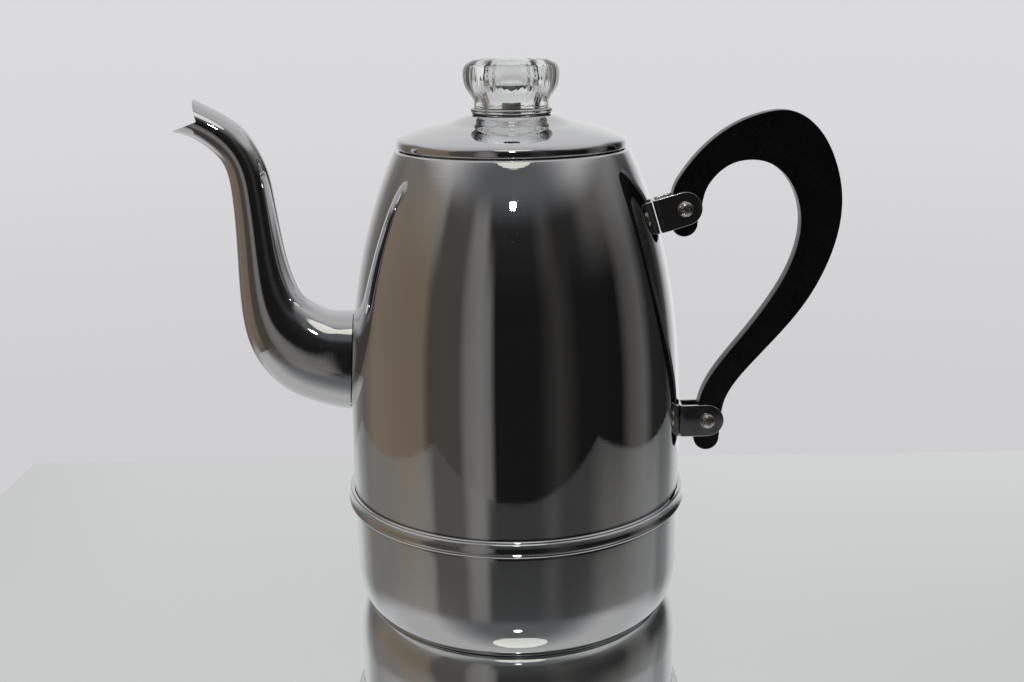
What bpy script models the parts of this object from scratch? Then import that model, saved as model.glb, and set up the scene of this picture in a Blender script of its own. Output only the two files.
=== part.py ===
"""Stovetop pump percolator: a bright metal pot with a gooseneck spout, a sawn black
handle held in two metal brackets, a lift-off lid with a fluted glass knob, and the
pump, basket and basket cover that the pot holds inside.

Metres, +Z up. The origin is the centre of the flat base, on the table. The spout
points along -X and the handle along +X. Turned pieces share the Z axis.
"""
import math

import bmesh
import bpy
import numpy as np
from mathutils import Matrix

# Clearances and cutters
FIT_GAP = 0.0003          # between two pieces that touch when assembled
SLIDE_GAP = 0.0005        # round a piece that slides or lifts out
OVERRUN = 0.0030          # how far a cutter runs past what it cuts

# Pot: two pressed shells and the band that covers their seam
POT_HEIGHT = 0.1996       # crest of the rolled mouth
BODY_RADIUS = 0.0720      # upper shell, where it leaves the band
SHOULDER_DROP = 0.0229    # how much the upper shell draws in on its way up
BARREL_POWER = 3          # the drawing-in grows with the cube of the height
SHELL_WALL = 0.0009
SHOULDER_ROUND = 0.0014   # round between the wall and the flat crest of the mouth
CREST_WIDTH = 0.0023      # flat ring on which the lid rests
LIP_ROUND = 0.0012        # round over which the crest turns down into the mouth
LIP_DEPTH = 0.0040        # length of the turned-down lip
PAN_INSET = 0.0005        # how far the pan's wall stands inside the upper shell's
PAN_CORNER_WIDTH = 0.0070
PAN_CORNER_HEIGHT = 0.0200
PAN_LAP = 0.0080          # how far the pan's neck goes up inside the upper shell
JOGGLE_HEIGHT = 0.0022    # height over which the pan steps in to its neck
BAND_BOTTOM = 0.0474
BAND_HEIGHT = 0.0068
BAND_PROUD = 0.0024       # how far the band stands out from the upper shell
BAND_LEAN = 0.0007        # how much less it stands out at its upper edge
BAND_BEAD_ROUND = 0.0008  # bead along each edge
BAND_BEAD_TURN = 60       # degrees by which a bead turns back on to the band's face

# Spout: a tapered gooseneck whose mouth is cut open like a beak
SPOUT_REACH = 0.0696      # from the pot's wall to the tip of the lower lip
SPOUT_ROOT_RISE = 0.0320  # from the band up to the lowest point of the joint
SPOUT_OVER_MOUTH = 0.0209 # from the crest of the pot's mouth up to the upper lip
SPOUT_ROOT_WIDTH = 0.0300
SPOUT_WALL = 0.0008
BEAK_DEPTH = 0.0125       # from the tip of the lower lip back to the notch
BEAK_DROP = 0.0046        # from the notch down to the tip of the lower lip
BEAK_BOW = 0.0023         # how far the edge of the upper lip bows out past the notch
BEAK_BOW_HEIGHT = 0.0080  # from the notch up to where it bows furthest
STRAINER_HOLE_RADIUS = 0.0022
STRAINER_PITCH = 0.0070

# Each row is one section: the place of its upper edge and of its lower edge, as shares
# of the spout's reach and rise, and its width as a share of the width at the root.
SPOUT_SECTION_SHARES = (
    (-0.154, 0.328, -0.154, -0.008, 1.000),
    (0.003, 0.329, 0.008, 0.000, 1.000),
    (0.112, 0.334, 0.236, 0.029, 0.950),
    (0.232, 0.368, 0.469, 0.098, 0.870),
    (0.289, 0.403, 0.602, 0.201, 0.800),
    (0.335, 0.470, 0.654, 0.335, 0.730),
    (0.370, 0.561, 0.658, 0.510, 0.660),
    (0.407, 0.701, 0.663, 0.690, 0.600),
    (0.453, 0.811, 0.692, 0.791, 0.570),
    (0.534, 0.890, 0.756, 0.840, 0.555),
    (0.646, 0.944, 0.872, 0.884, 0.545),
    (0.817, 0.993, 1.000, 0.904, 0.540),
    (0.974, 1.035, 1.156, 0.925, 0.540),
)

# Brackets and handle
BRACKET_LOW_RISE = 0.0252 # from the band up to the lower bracket
BRACKET_HIGH_DROP = 0.0298  # from the crest of the mouth down to the upper bracket
BRACKET_REACH = 0.0125    # from the wall out to the screw
BRACKET_WIDTH = 0.0144
BRACKET_STRIP = 0.0013
BRACKET_BEND_ROUND = 0.0020
HANDLE_THICKNESS = 0.0066
HANDLE_WIDTH = 0.0665     # from the screws out to the outermost edge
HANDLE_END_RADIUS = 0.0055
HANDLE_TAIL_LOW = 0.0084  # from the lower screw to the centre of the lower end
HANDLE_TAIL_HIGH = 0.0065
HANDLE_EDGE_BEVEL = 0.0003
SCREW_RADIUS = 0.0018
SCREW_HEAD_RADIUS = 0.0032
SCREW_HEAD_HEIGHT = 0.0019
SCREW_HEAD_RIM = 0.0007
SCREW_TIP = 0.0008        # how far the screw shows past its nut
RECESS_WIDTH = 0.0009
RECESS_SPAN = 0.0036
RECESS_DEPTH = 0.0011
NUT_RADIUS = 0.0038       # across the corners
NUT_THICKNESS = 0.0024

# Both edges of the handle, from the lower end round to the upper end. Across: share of
# the width, counted from the line through the screws. Up: share of the way from the
# lower screw to the upper one.
HANDLE_OUTER_SHARES = (
    (0.094, 0.005), (0.119, 0.074), (0.193, 0.165), (0.320, 0.265), (0.465, 0.367),
    (0.608, 0.471), (0.742, 0.586), (0.860, 0.720), (0.957, 0.880), (1.000, 1.050),
    (0.978, 1.199), (0.892, 1.341), (0.733, 1.425), (0.540, 1.417), (0.329, 1.357),
    (0.150, 1.265), (0.010, 1.160), (-0.061, 1.081), (-0.078, 1.033),
)
HANDLE_INNER_SHARES = (
    (0.075, 0.946), (0.102, 0.997), (0.140, 1.074), (0.209, 1.140), (0.310, 1.192),
    (0.437, 1.213), (0.559, 1.198), (0.657, 1.141), (0.717, 1.045), (0.725, 0.921),
    (0.682, 0.806), (0.592, 0.680), (0.460, 0.549), (0.280, 0.399), (0.106, 0.260),
    (0.007, 0.161), (-0.052, 0.063),
)

# Lid
LID_OVERHANG = 0.0035     # how far the lid's edge lies outside the mouth
LID_RISE = 0.0122         # from the lid's edge up to the seat of the knob
LID_WALL = 0.0008
LID_EDGE_ROUND = 0.0011
LID_SKIRT_DEPTH = 0.0090
LID_SKIRT_WALL = 0.0007
LID_HOLE_RADIUS = 0.0120
KNOB_SEAT_RADIUS = 0.0182 # flat round the hole, on which the knob sits

# Outline of the crown from the knob's seat to the edge: a steep cone that turns into a
# flatter dome. Out: share of the way from seat to edge. Up: share of the rise.
LID_OUTLINE_SHARES = (
    (0.000, 1.000), (0.077, 0.932), (0.160, 0.846), (0.260, 0.750), (0.393, 0.676),
    (0.527, 0.604), (0.660, 0.518), (0.793, 0.411), (0.890, 0.300), (0.960, 0.165),
    (1.000, 0.000),
)

# Glass knob
KNOB_WASHER_RADIUS = 0.0176
KNOB_WASHER_THICKNESS = 0.0004
KNOB_FOOT_RADIUS = 0.0169
KNOB_FOOT_HEIGHT = 0.0015
KNOB_NECK_RADIUS = 0.0154
KNOB_RADIUS = 0.0199
KNOB_HEIGHT = 0.02175
KNOB_BORE_RADIUS = 0.0100
KNOB_HOLLOW_TAPER = 0.0008  # how much narrower the hollow is at its roof
KNOB_CROWN_GLASS = 0.0052 # thickness of the glass over the hollow
KNOB_PLUG_GAP = 0.0004
KNOB_FLUTES = 16
FLUTE_DEPTH = 0.0005
LUG_REACH = 0.0022
LUG_HEIGHT = 0.0026
LUG_ANGLE = math.radians(40)
LUG_SLACK = math.radians(5)

# Outside of the knob above its neck. Out: share of the way from the neck's radius to
# the knob's. Up: share of the knob's height.
KNOB_OUTLINE_SHARES = (
    (0.00, 0.189), (0.13, 0.287), (0.49, 0.380), (0.76, 0.467), (0.98, 0.652),
    (1.00, 0.712), (0.956, 0.789), (0.80, 0.866), (0.46, 0.921), (0.08, 0.960),
)

# Pump: stem, foot and the loose washer that works as its valve
STEM_RADIUS = 0.0040
STEM_WALL = 0.0007
STEM_IN_KNOB = 0.0052     # how far the stem stands up inside the knob
FOOT_RADIUS = 0.0240
FOOT_WALL = 0.0007
FOOT_SKIRT = 0.0056
FOOT_DOME_HEIGHT = 0.0102
FOOT_SLEEVE = 0.0080
FOOT_NOTCH_RADIUS = 0.0021
FOOT_NOTCH_CUTS = 3       # each cut opens two notches
VALVE_PLATE_THICKNESS = 0.0007
VALVE_HOLES = 6
VALVE_HOLE_RADIUS = 0.0020
VALVE_HOLE_RING = 0.0105
VALVE_RADIUS = 0.0150
VALVE_BORE = 0.0050
VALVE_THICKNESS = 0.0007
STOP_RADIUS = 0.0070
STOP_HEIGHT = 0.0040

# Basket, its tube and its cover
BASKET_CLEARANCE = 0.0026 # between the basket's rim and the mouth of the pot
BASKET_HANG = 0.0136      # from the crest of the mouth down to the basket's rim
BASKET_HEIGHT = 0.0580
BASKET_WALL = 0.0006
BASKET_RIM = 0.0018
BASKET_TAPER = 0.0020
BASKET_CORNER_ROUND = 0.0045
BASKET_TUBE_WALL = 0.0007
BASKET_TUBE_SHORT = 0.0070  # how far the tube ends below the basket's rim
BASKET_TUBE_FLANGE = 0.0035
COVER_SINK = 0.0030
COVER_COLLAR_RISE = 0.0045
COVER_COLLAR_WIDTH = 0.0040
COVER_SLOPE = 0.0030
PERFORATION_RADIUS = 0.0011
PERFORATION_RINGS = 3
PERFORATION_PITCH = 0.0100  # from ring to ring
PERFORATION_SPACING = 0.0170  # from hole to hole round a ring

# Facets
POT_SIDES = 40
LID_SIDES = 36
LID_ROWS = 7
KNOB_ROWS = 8
KNOB_SIDES_PER_FLUTE = 3
BASKET_SIDES = 24
FOOT_SIDES = 24
SMALL_SIDES = 14
SPOUT_SIDES = 18
SPOUT_ROWS = 17
HANDLE_OUTER_STEPS = 30
HANDLE_INNER_STEPS = 25
BORE_SIDES = 12
HOLE_SIDES = 6
SHOULDER_TRIES = 30       # repeats that settle the shoulder's height


def clear_scene():
    for item in list(bpy.data.objects):
        bpy.data.objects.remove(item, do_unlink=True)


def finish(name, colour, roughness, metallic, transmission=0.0):
    """A material for one piece."""
    made = bpy.data.materials.new(name + "_finish")
    made.use_nodes = True
    shader = made.node_tree.nodes["Principled BSDF"]
    shader.inputs["Base Color"].default_value = (*colour, 1.0)
    shader.inputs["Roughness"].default_value = roughness
    shader.inputs["Metallic"].default_value = metallic
    shader.inputs["Transmission Weight"].default_value = transmission
    made.diffuse_color = (*colour, 1.0)
    return made


def polished(name):
    return finish(name, (0.80, 0.80, 0.81), 0.06, 1.0)


def spun_aluminium(name):
    return finish(name, (0.74, 0.75, 0.76), 0.38, 1.0)


def black_board(name):
    return finish(name, (0.011, 0.011, 0.012), 0.38, 0.0)


def clear_glass(name):
    return finish(name, (0.93, 0.95, 0.94), 0.02, 0.0, 1.0)


def dark_rubber(name):
    return finish(name, (0.020, 0.020, 0.020), 0.60, 0.0)


def add_piece(name, shape, look, smooth_angle=35.0):
    """Put a bmesh into the scene as one named piece, shaded smooth."""
    bmesh.ops.recalc_face_normals(shape, faces=shape.faces)
    mesh = bpy.data.meshes.new(name)
    shape.to_mesh(mesh)
    shape.free()
    piece = bpy.data.objects.new(name, mesh)
    bpy.context.scene.collection.objects.link(piece)
    mesh.materials.append(look)
    mesh.shade_smooth()
    mesh.set_sharp_from_angle(angle=math.radians(smooth_angle))
    return piece


def add_cutter(name, shape):
    """A tool body: it cuts or trims a piece and is never a piece itself."""
    cutter = add_piece(name, shape, finish(name, (1.0, 0.2, 0.1), 0.5, 0.0))
    cutter.hide_render = True
    cutter.display_type = "WIRE"
    return cutter


def combine(piece, cutter, operation):
    cutter.parent = piece
    step = piece.modifiers.new(operation.lower(), "BOOLEAN")
    step.operation = operation
    step.solver = "EXACT"
    step.object = cutter


def smooth_curve(points, count):
    """Natural cubic spline through the points, spaced evenly along their chords."""
    points = np.array(points, float)
    steps = np.linalg.norm(np.diff(points, axis=0), axis=1)
    knots = np.concatenate(([0.0], np.cumsum(steps)))
    size = len(points)
    matrix = np.eye(size)
    right = np.zeros_like(points)
    for i in range(1, size - 1):
        before = knots[i] - knots[i - 1]
        after = knots[i + 1] - knots[i]
        matrix[i, i - 1] = before
        matrix[i, i] = 2 * (before + after)
        matrix[i, i + 1] = after
        rise = (points[i + 1] - points[i]) / after - (points[i] - points[i - 1]) / before
        right[i] = 6 * rise
    bend = np.linalg.solve(matrix, right)
    places = np.linspace(0, knots[-1], count)
    i = np.clip(np.searchsorted(knots, places, side="right") - 1, 0, size - 2)
    span = (knots[i + 1] - knots[i])[:, None]
    ahead = (places - knots[i])[:, None]
    behind = span - ahead
    return (bend[i] * behind ** 3 / (6 * span) + bend[i + 1] * ahead ** 3 / (6 * span)
            + (points[i] / span - bend[i] * span / 6) * behind
            + (points[i + 1] / span - bend[i + 1] * span / 6) * ahead)


def arc(centre, radius, start, end, steps):
    """Points on a circle in the outline plane; angles in degrees from outward to up."""
    return [(centre[0] + radius * math.cos(math.radians(a)),
             centre[1] + radius * math.sin(math.radians(a)))
            for a in np.linspace(start, end, steps + 1)]


def sheet_outline(line, wall):
    """Close an open outline into a sheet: the wall lies to the left of the line for a
    positive thickness and to its right for a negative one."""
    line = np.array(line, float)
    along = np.diff(line, axis=0)
    along /= np.linalg.norm(along, axis=1)[:, None]
    left = np.column_stack((-along[:, 1], along[:, 0]))
    before = np.vstack((left[:1], left))
    after = np.vstack((left, left[-1:]))
    corner = before + after
    corner /= np.linalg.norm(corner, axis=1)[:, None]
    stretch = wall / np.sum(corner * before, axis=1)
    other = line + corner * stretch[:, None]
    other[line[:, 0] == 0, 0] = 0
    return [tuple(p) for p in line] + [tuple(p) for p in other[::-1]]


def turned(outline, sides, angle=2 * math.pi):
    """Spin an outline of (radius, height) about Z. Outlines that start and end on the
    axis close there; all others are closed loops."""
    shape = bmesh.new()
    points = [shape.verts.new((r, 0.0, z)) for r, z in outline]
    on_axis = outline[0][0] == 0 and outline[-1][0] == 0
    pairs = list(zip(points, points[1:]))
    if not on_axis:
        pairs.append((points[-1], points[0]))
    edges = [shape.edges.new(pair) for pair in pairs]
    whole = angle == 2 * math.pi
    if not whole:
        shape.faces.new(points)
    bmesh.ops.spin(shape, geom=points + edges, cent=(0, 0, 0), axis=(0, 0, 1),
                   angle=angle, steps=sides, use_merge=whole, use_duplicate=False)
    if not whole:
        ends = [e for e in shape.edges if e.is_boundary]
        bmesh.ops.holes_fill(shape, edges=ends, sides=len(points) + 1)
    bmesh.ops.remove_doubles(shape, verts=shape.verts, dist=FIT_GAP / 1000)
    return shape


def prism(outline, low, high):
    """A flat outline of (x, y) carried from one height to the other along Z."""
    shape = bmesh.new()
    base = shape.faces.new([shape.verts.new((x, y, low)) for x, y in outline])
    grown = bmesh.ops.extrude_face_region(shape, geom=[base])
    moved = [v for v in grown["geom"] if isinstance(v, bmesh.types.BMVert)]
    bmesh.ops.translate(shape, verts=moved, vec=(0, 0, high - low))
    return shape


def circle(radius, sides, centre=(0.0, 0.0), turn=0.0):
    return [(centre[0] + radius * math.cos(turn + 2 * math.pi * i / sides),
             centre[1] + radius * math.sin(turn + 2 * math.pi * i / sides))
            for i in range(sides)]


def join_shapes(shapes):
    """Several separate bodies in one bmesh, for a cutter with many teeth."""
    whole = bmesh.new()
    for shape in shapes:
        mesh = bpy.data.meshes.new("tooth")
        shape.to_mesh(mesh)
        shape.free()
        whole.from_mesh(mesh)
        bpy.data.meshes.remove(mesh)
    return whole


def stand_up(shape):
    """Turn a shape drawn in X and Y, thick along Z, so that its Y becomes up."""
    bmesh.ops.rotate(shape, verts=shape.verts, cent=(0, 0, 0),
                     matrix=Matrix.Rotation(math.pi / 2, 3, "X"))
    return shape


# The pot's outline, and the sizes that other pieces take from it

BAND_TOP = BAND_BOTTOM + BAND_HEIGHT
PAN_RADIUS = BODY_RADIUS - PAN_INSET
SPOUT_ROOT_BOTTOM = BAND_TOP + SPOUT_ROOT_RISE
SPOUT_RISE = POT_HEIGHT + SPOUT_OVER_MOUTH - SPOUT_ROOT_BOTTOM
BRACKET_LOW = BAND_TOP + BRACKET_LOW_RISE
BRACKET_HIGH = POT_HEIGHT - BRACKET_HIGH_DROP
SEAM = BAND_BOTTOM + FIT_GAP
PAN_NECK_RADIUS = BODY_RADIUS - SHELL_WALL - FIT_GAP


def barrel_radius(height):
    """Outer radius of the upper shell: straight at the band, drawn in as a cube."""
    up = max(height - BAND_TOP, 0.0) / (POT_HEIGHT - BAND_TOP)
    return BODY_RADIUS - SHOULDER_DROP * up ** BARREL_POWER


def barrel_slope(height):
    """Change of the shell's radius for each step up."""
    up = max(height - BAND_TOP, 0.0) / (POT_HEIGHT - BAND_TOP)
    return -BARREL_POWER * SHOULDER_DROP * up ** (BARREL_POWER - 1) / (POT_HEIGHT - BAND_TOP)


def barrel_tilt(height):
    """Angle by which the wall's outward direction points up."""
    return math.atan(-barrel_slope(height))


def shoulder_start():
    """Height at which the wall runs smoothly into the round below the crest."""
    height = POT_HEIGHT - SHOULDER_ROUND
    for _ in range(SHOULDER_TRIES):
        height = POT_HEIGHT - SHOULDER_ROUND * (1 - math.sin(barrel_tilt(height)))
    return height


SHOULDER = shoulder_start()
CREST_RADIUS = barrel_radius(SHOULDER) - SHOULDER_ROUND * math.cos(barrel_tilt(SHOULDER))
MOUTH_RADIUS = CREST_RADIUS - CREST_WIDTH - LIP_ROUND
LID_SEAT = POT_HEIGHT + FIT_GAP
LID_RADIUS = MOUTH_RADIUS + LID_OVERHANG
LID_CROWN_START = LID_SEAT + LID_EDGE_ROUND


def shell_line():
    """Outside of the upper shell, from its lower edge over the mouth into the lip."""
    heights = BAND_TOP + (SHOULDER - BAND_TOP) * np.linspace(0, 1, 6) ** (2 / 3)
    wall = [(barrel_radius(z), z) for z in heights]
    start = math.degrees(barrel_tilt(SHOULDER))
    over = arc((CREST_RADIUS, POT_HEIGHT - SHOULDER_ROUND), SHOULDER_ROUND, start, 90, 2)
    lip = arc((MOUTH_RADIUS + LIP_ROUND, POT_HEIGHT - LIP_ROUND), LIP_ROUND, 90, 180, 2)
    end = [(MOUTH_RADIUS, POT_HEIGHT - LIP_DEPTH)]
    return [(BODY_RADIUS, SEAM)] + wall + over[1:] + lip + end


def pan_line():
    """Outside of the pan, from the centre of the base up to the edge of its neck."""
    flat = PAN_RADIUS - PAN_CORNER_WIDTH
    corner = [(flat + PAN_CORNER_WIDTH * math.sin(a), PAN_CORNER_HEIGHT * (1 - math.cos(a)))
              for a in np.linspace(0, math.pi / 2, 5)]
    step = SEAM - FIT_GAP
    return ([(0.0, 0.0)] + corner
            + [(PAN_RADIUS, step - JOGGLE_HEIGHT), (PAN_NECK_RADIUS, step),
               (PAN_NECK_RADIUS, BAND_TOP + PAN_LAP - BAND_HEIGHT)])


def body_shell():
    look = polished("body_shell")
    shell = add_piece("body_shell", turned(sheet_outline(shell_line(), SHELL_WALL), POT_SIDES),
                      look)
    middle = SPOUT_ROOT_BOTTOM + SPOUT_RISE * SPOUT_SECTION_SHARES[1][1] / 2
    holes = []
    for row in (-1, 0, 1):
        count = 3 - abs(row)
        for column in range(count):
            across = (column - (count - 1) / 2) * STRAINER_PITCH
            up = middle + row * STRAINER_PITCH * math.sqrt(3) / 2
            hole = prism(circle(STRAINER_HOLE_RADIUS, HOLE_SIDES, (across, up)),
                         BODY_RADIUS - SHOULDER_DROP, BODY_RADIUS + OVERRUN)
            bmesh.ops.rotate(stand_up(hole), verts=hole.verts, cent=(0, 0, 0),
                             matrix=Matrix.Rotation(-math.pi / 2, 3, "Z"))
            holes.append(hole)
    combine(shell, add_cutter("strainer_cutter", join_shapes(holes)), "DIFFERENCE")


def base_pan():
    add_piece("base_pan", turned(sheet_outline(pan_line(), SHELL_WALL), POT_SIDES),
              polished("base_pan"))


def seam_band():
    """Ring over the seam: a bead along each edge and a flat face sunk between them."""
    inner = BODY_RADIUS + FIT_GAP
    low = BODY_RADIUS + BAND_PROUD - BAND_BEAD_ROUND
    high = low - BAND_LEAN
    bead = BAND_BEAD_ROUND
    outline = ([(inner, BAND_TOP), (inner, BAND_BOTTOM)]
               + arc((low, BAND_BOTTOM + bead), bead, -90, BAND_BEAD_TURN, 3)
               + arc((high, BAND_TOP - bead), bead, -BAND_BEAD_TURN, 90, 3))
    add_piece("seam_band", turned(outline, POT_SIDES), polished("seam_band"))


# Spout

def spout_place(across_share, up_share):
    """World (x, z) of a point of the spout's side view."""
    root = barrel_radius(SPOUT_ROOT_BOTTOM)
    return (-(root + SPOUT_REACH * across_share), SPOUT_ROOT_BOTTOM + SPOUT_RISE * up_share)


def spout_surface():
    """Elliptical sections lofted along the upper and lower edges of the side view."""
    rows = [(*spout_place(ux, uz), *spout_place(lx, lz), SPOUT_ROOT_WIDTH / 2 * width)
            for ux, uz, lx, lz, width in SPOUT_SECTION_SHARES]
    shape = bmesh.new()
    rings = []
    for ux, uz, lx, lz, half in smooth_curve(rows, SPOUT_ROWS):
        ring = []
        for i in range(SPOUT_SIDES):
            angle = 2 * math.pi * i / SPOUT_SIDES
            up = math.cos(angle) / 2
            x = (ux + lx) / 2 + (ux - lx) * up
            z = (uz + lz) / 2 + (uz - lz) * up
            ring.append(shape.verts.new((x, half * math.sin(angle), z)))
        rings.append(ring)
    for one, two in zip(rings, rings[1:]):
        for i in range(SPOUT_SIDES):
            j = (i + 1) % SPOUT_SIDES
            shape.faces.new((one[i], one[j], two[j], two[i]))
    return shape


def pot_trim_cutter():
    """The pot's outside with the fitting gap added, which trims the spout's root."""
    line = [(0.0, BAND_BOTTOM)] + [(barrel_radius(z) + FIT_GAP, z)
                                   for z in np.linspace(BAND_BOTTOM, SHOULDER, 24)]
    line += [(0.0, SHOULDER)]
    return add_cutter("pot_trim_cutter", turned(line, POT_SIDES))


def beak_cutter():
    """A wedge that opens the end of the spout into an upper and a lower lip."""
    tip_x, tip_z = spout_place(1.0, SPOUT_SECTION_SHARES[-2][3])
    notch = (tip_x + BEAK_DEPTH, tip_z + BEAK_DROP)
    far = tip_x - SPOUT_ROOT_WIDTH
    drop = BEAK_DROP * (notch[0] - far) / BEAK_DEPTH
    top = notch[1] + SPOUT_ROOT_WIDTH
    bow = notch[0] - BEAK_BOW
    outline = [notch, (bow, notch[1] + BEAK_BOW_HEIGHT), (bow, top), (far, top),
               (far, notch[1] - drop)]
    wedge = prism(outline, -SPOUT_ROOT_WIDTH, SPOUT_ROOT_WIDTH)
    return add_cutter("beak_cutter", stand_up(wedge))


def spout():
    piece = add_piece("spout", spout_surface(), polished("spout"))
    wall = piece.modifiers.new("wall", "SOLIDIFY")
    wall.thickness = SPOUT_WALL
    wall.offset = -1
    wall.use_even_offset = True
    combine(piece, pot_trim_cutter(), "DIFFERENCE")
    combine(piece, beak_cutter(), "DIFFERENCE")


# Brackets, handle and screws

def screw_place(height):
    """World (x, z) of the screw in the bracket that meets the wall at this height."""
    tilt = barrel_tilt(height)
    return (barrel_radius(height) + BRACKET_REACH * math.cos(tilt),
            height + BRACKET_REACH * math.sin(tilt))


CHEEK_INSIDE = HANDLE_THICKNESS / 2 + FIT_GAP
CHEEK_OUTSIDE = CHEEK_INSIDE + BRACKET_STRIP


def bracket(name, height):
    """A strip bent into a U round the handle, its back on the wall and its two cheeks
    rounded about the screw. It is drawn pointing along X and tilted with the wall."""
    back = FIT_GAP
    length = BRACKET_REACH + BRACKET_WIDTH / 2
    outer = BRACKET_BEND_ROUND
    inner = outer - BRACKET_STRIP
    outline = ([(length, -CHEEK_OUTSIDE)]
               + [(p[0], p[1]) for p in arc((back + outer, outer - CHEEK_OUTSIDE), outer, 270, 180, 2)]
               + [(p[0], p[1]) for p in arc((back + outer, CHEEK_OUTSIDE - outer), outer, 180, 90, 2)]
               + [(length, CHEEK_OUTSIDE), (length, CHEEK_INSIDE)]
               + [(p[0], p[1]) for p in arc((back + outer, CHEEK_OUTSIDE - outer), inner, 90, 180, 2)]
               + [(p[0], p[1]) for p in arc((back + outer, outer - CHEEK_OUTSIDE), inner, 180, 270, 2)]
               + [(length, -CHEEK_INSIDE)])
    look = polished(name)
    piece = add_piece(name, prism(outline, -BRACKET_WIDTH / 2, BRACKET_WIDTH / 2), look)
    half = BRACKET_WIDTH / 2
    tongue = ([(-OVERRUN, -half)]
              + [(BRACKET_REACH + half * math.cos(a), half * math.sin(a))
                 for a in np.linspace(-math.pi / 2, math.pi / 2, 11)]
              + [(-OVERRUN, half)])
    trim = add_cutter(name + "_trim", stand_up(prism(tongue, -BRACKET_WIDTH, BRACKET_WIDTH)))
    bore = prism(circle(SCREW_RADIUS + FIT_GAP, BORE_SIDES, (BRACKET_REACH, 0.0)),
                 -BRACKET_WIDTH, BRACKET_WIDTH)
    drill = add_cutter(name + "_drill", stand_up(bore))
    piece.location = (barrel_radius(height), 0, height)
    piece.rotation_euler = (0, -barrel_tilt(height), 0)
    combine(piece, trim, "INTERSECT")
    combine(piece, drill, "DIFFERENCE")


def handle_place(across_share, up_share):
    """World (x, z) of a point of the handle, drawn between its two screws."""
    low = screw_place(BRACKET_LOW)
    high = screw_place(BRACKET_HIGH)
    return (low[0] + (high[0] - low[0]) * up_share + HANDLE_WIDTH * across_share,
            low[1] + (high[1] - low[1]) * up_share)


def handle_outline():
    """Outer edge, upper round end, inner edge and lower round end, as one loop."""
    low = screw_place(BRACKET_LOW)
    high = screw_place(BRACKET_HIGH)
    low_end = (low[0], low[1] - HANDLE_TAIL_LOW)
    high_end = (high[0], high[1] - HANDLE_TAIL_HIGH)
    lower = arc(low_end, HANDLE_END_RADIUS, 180, 360, 8)
    upper = arc(high_end, HANDLE_END_RADIUS, 180, 360, 8)
    outer = [lower[-1]] + [handle_place(*share) for share in HANDLE_OUTER_SHARES] + [upper[0]]
    inner = [upper[-1]] + [handle_place(*share) for share in HANDLE_INNER_SHARES] + [lower[0]]
    outer = [tuple(p) for p in smooth_curve(outer, HANDLE_OUTER_STEPS)]
    inner = [tuple(p) for p in smooth_curve(inner, HANDLE_INNER_STEPS)]
    return lower + outer[1:-1] + upper + inner[1:-1]


def handle():
    """The sawn board, its long edges bevelled a little, drilled for both screws."""
    half = HANDLE_THICKNESS / 2
    board = prism(handle_outline(), -half, half)
    rims = [e for e in board.edges if e.verts[0].co.z == e.verts[1].co.z]
    bmesh.ops.bevel(board, geom=rims, offset=HANDLE_EDGE_BEVEL, segments=1, affect="EDGES")
    piece = add_piece("handle", stand_up(board), black_board("handle"))
    bores = []
    for height in (BRACKET_LOW, BRACKET_HIGH):
        bores.append(stand_up(prism(circle(SCREW_RADIUS + FIT_GAP, BORE_SIDES, screw_place(height)),
                                    -HANDLE_THICKNESS, HANDLE_THICKNESS)))
    combine(piece, add_cutter("handle_drill", join_shapes(bores)), "DIFFERENCE")


NUT_FACE = CHEEK_OUTSIDE + FIT_GAP


def screw(name, height):
    """Round-headed screw through both cheeks and the board, its head towards -Y."""
    tip = NUT_FACE + NUT_THICKNESS + SCREW_TIP
    under = -(CHEEK_OUTSIDE + FIT_GAP)
    dome = SCREW_HEAD_HEIGHT - SCREW_HEAD_RIM
    head = [(SCREW_HEAD_RADIUS * math.cos(a), under - SCREW_HEAD_RIM - dome * math.sin(a))
            for a in np.linspace(0, math.pi / 2, 5)]
    head[-1] = (0.0, head[-1][1])
    outline = head[::-1] + [(SCREW_HEAD_RADIUS, under), (SCREW_RADIUS, under),
                            (SCREW_RADIUS, tip), (0.0, tip)]
    shape = turned(outline, SMALL_SIDES)
    cut = RECESS_SPAN / 2
    arm = RECESS_WIDTH / 2
    plus = [(cut, -arm), (cut, arm), (arm, arm), (arm, cut), (-arm, cut), (-arm, arm),
            (-cut, arm), (-cut, -arm), (-arm, -arm), (-arm, -cut), (arm, -cut), (arm, -arm)]
    face = under - SCREW_HEAD_HEIGHT
    recess = prism(plus, face - OVERRUN, face + RECESS_DEPTH)
    for part in (shape, recess):
        bmesh.ops.rotate(part, verts=part.verts, cent=(0, 0, 0),
                         matrix=Matrix.Rotation(-math.pi / 2, 3, "X"))
    piece = add_piece(name, shape, finish(name, (0.62, 0.60, 0.55), 0.22, 1.0))
    driver = add_cutter(name + "_recess", recess)
    x, z = screw_place(height)
    piece.location = (x, 0, z)
    combine(piece, driver, "DIFFERENCE")


def nut(name, height):
    outer = circle(NUT_RADIUS, 6)
    bore = circle(SCREW_RADIUS + FIT_GAP, BORE_SIDES)
    shape = prism(outer, NUT_FACE, NUT_FACE + NUT_THICKNESS)
    drill = prism(bore, NUT_FACE - OVERRUN, NUT_FACE + NUT_THICKNESS + OVERRUN)
    for part in (shape, drill):
        bmesh.ops.rotate(part, verts=part.verts, cent=(0, 0, 0),
                         matrix=Matrix.Rotation(-math.pi / 2, 3, "X"))
    piece = add_piece(name, shape, finish(name, (0.62, 0.60, 0.55), 0.25, 1.0))
    drill = add_cutter(name + "_drill", drill)
    x, z = screw_place(height)
    piece.location = (x, 0, z)
    combine(piece, drill, "DIFFERENCE")


# Lid and knob

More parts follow.
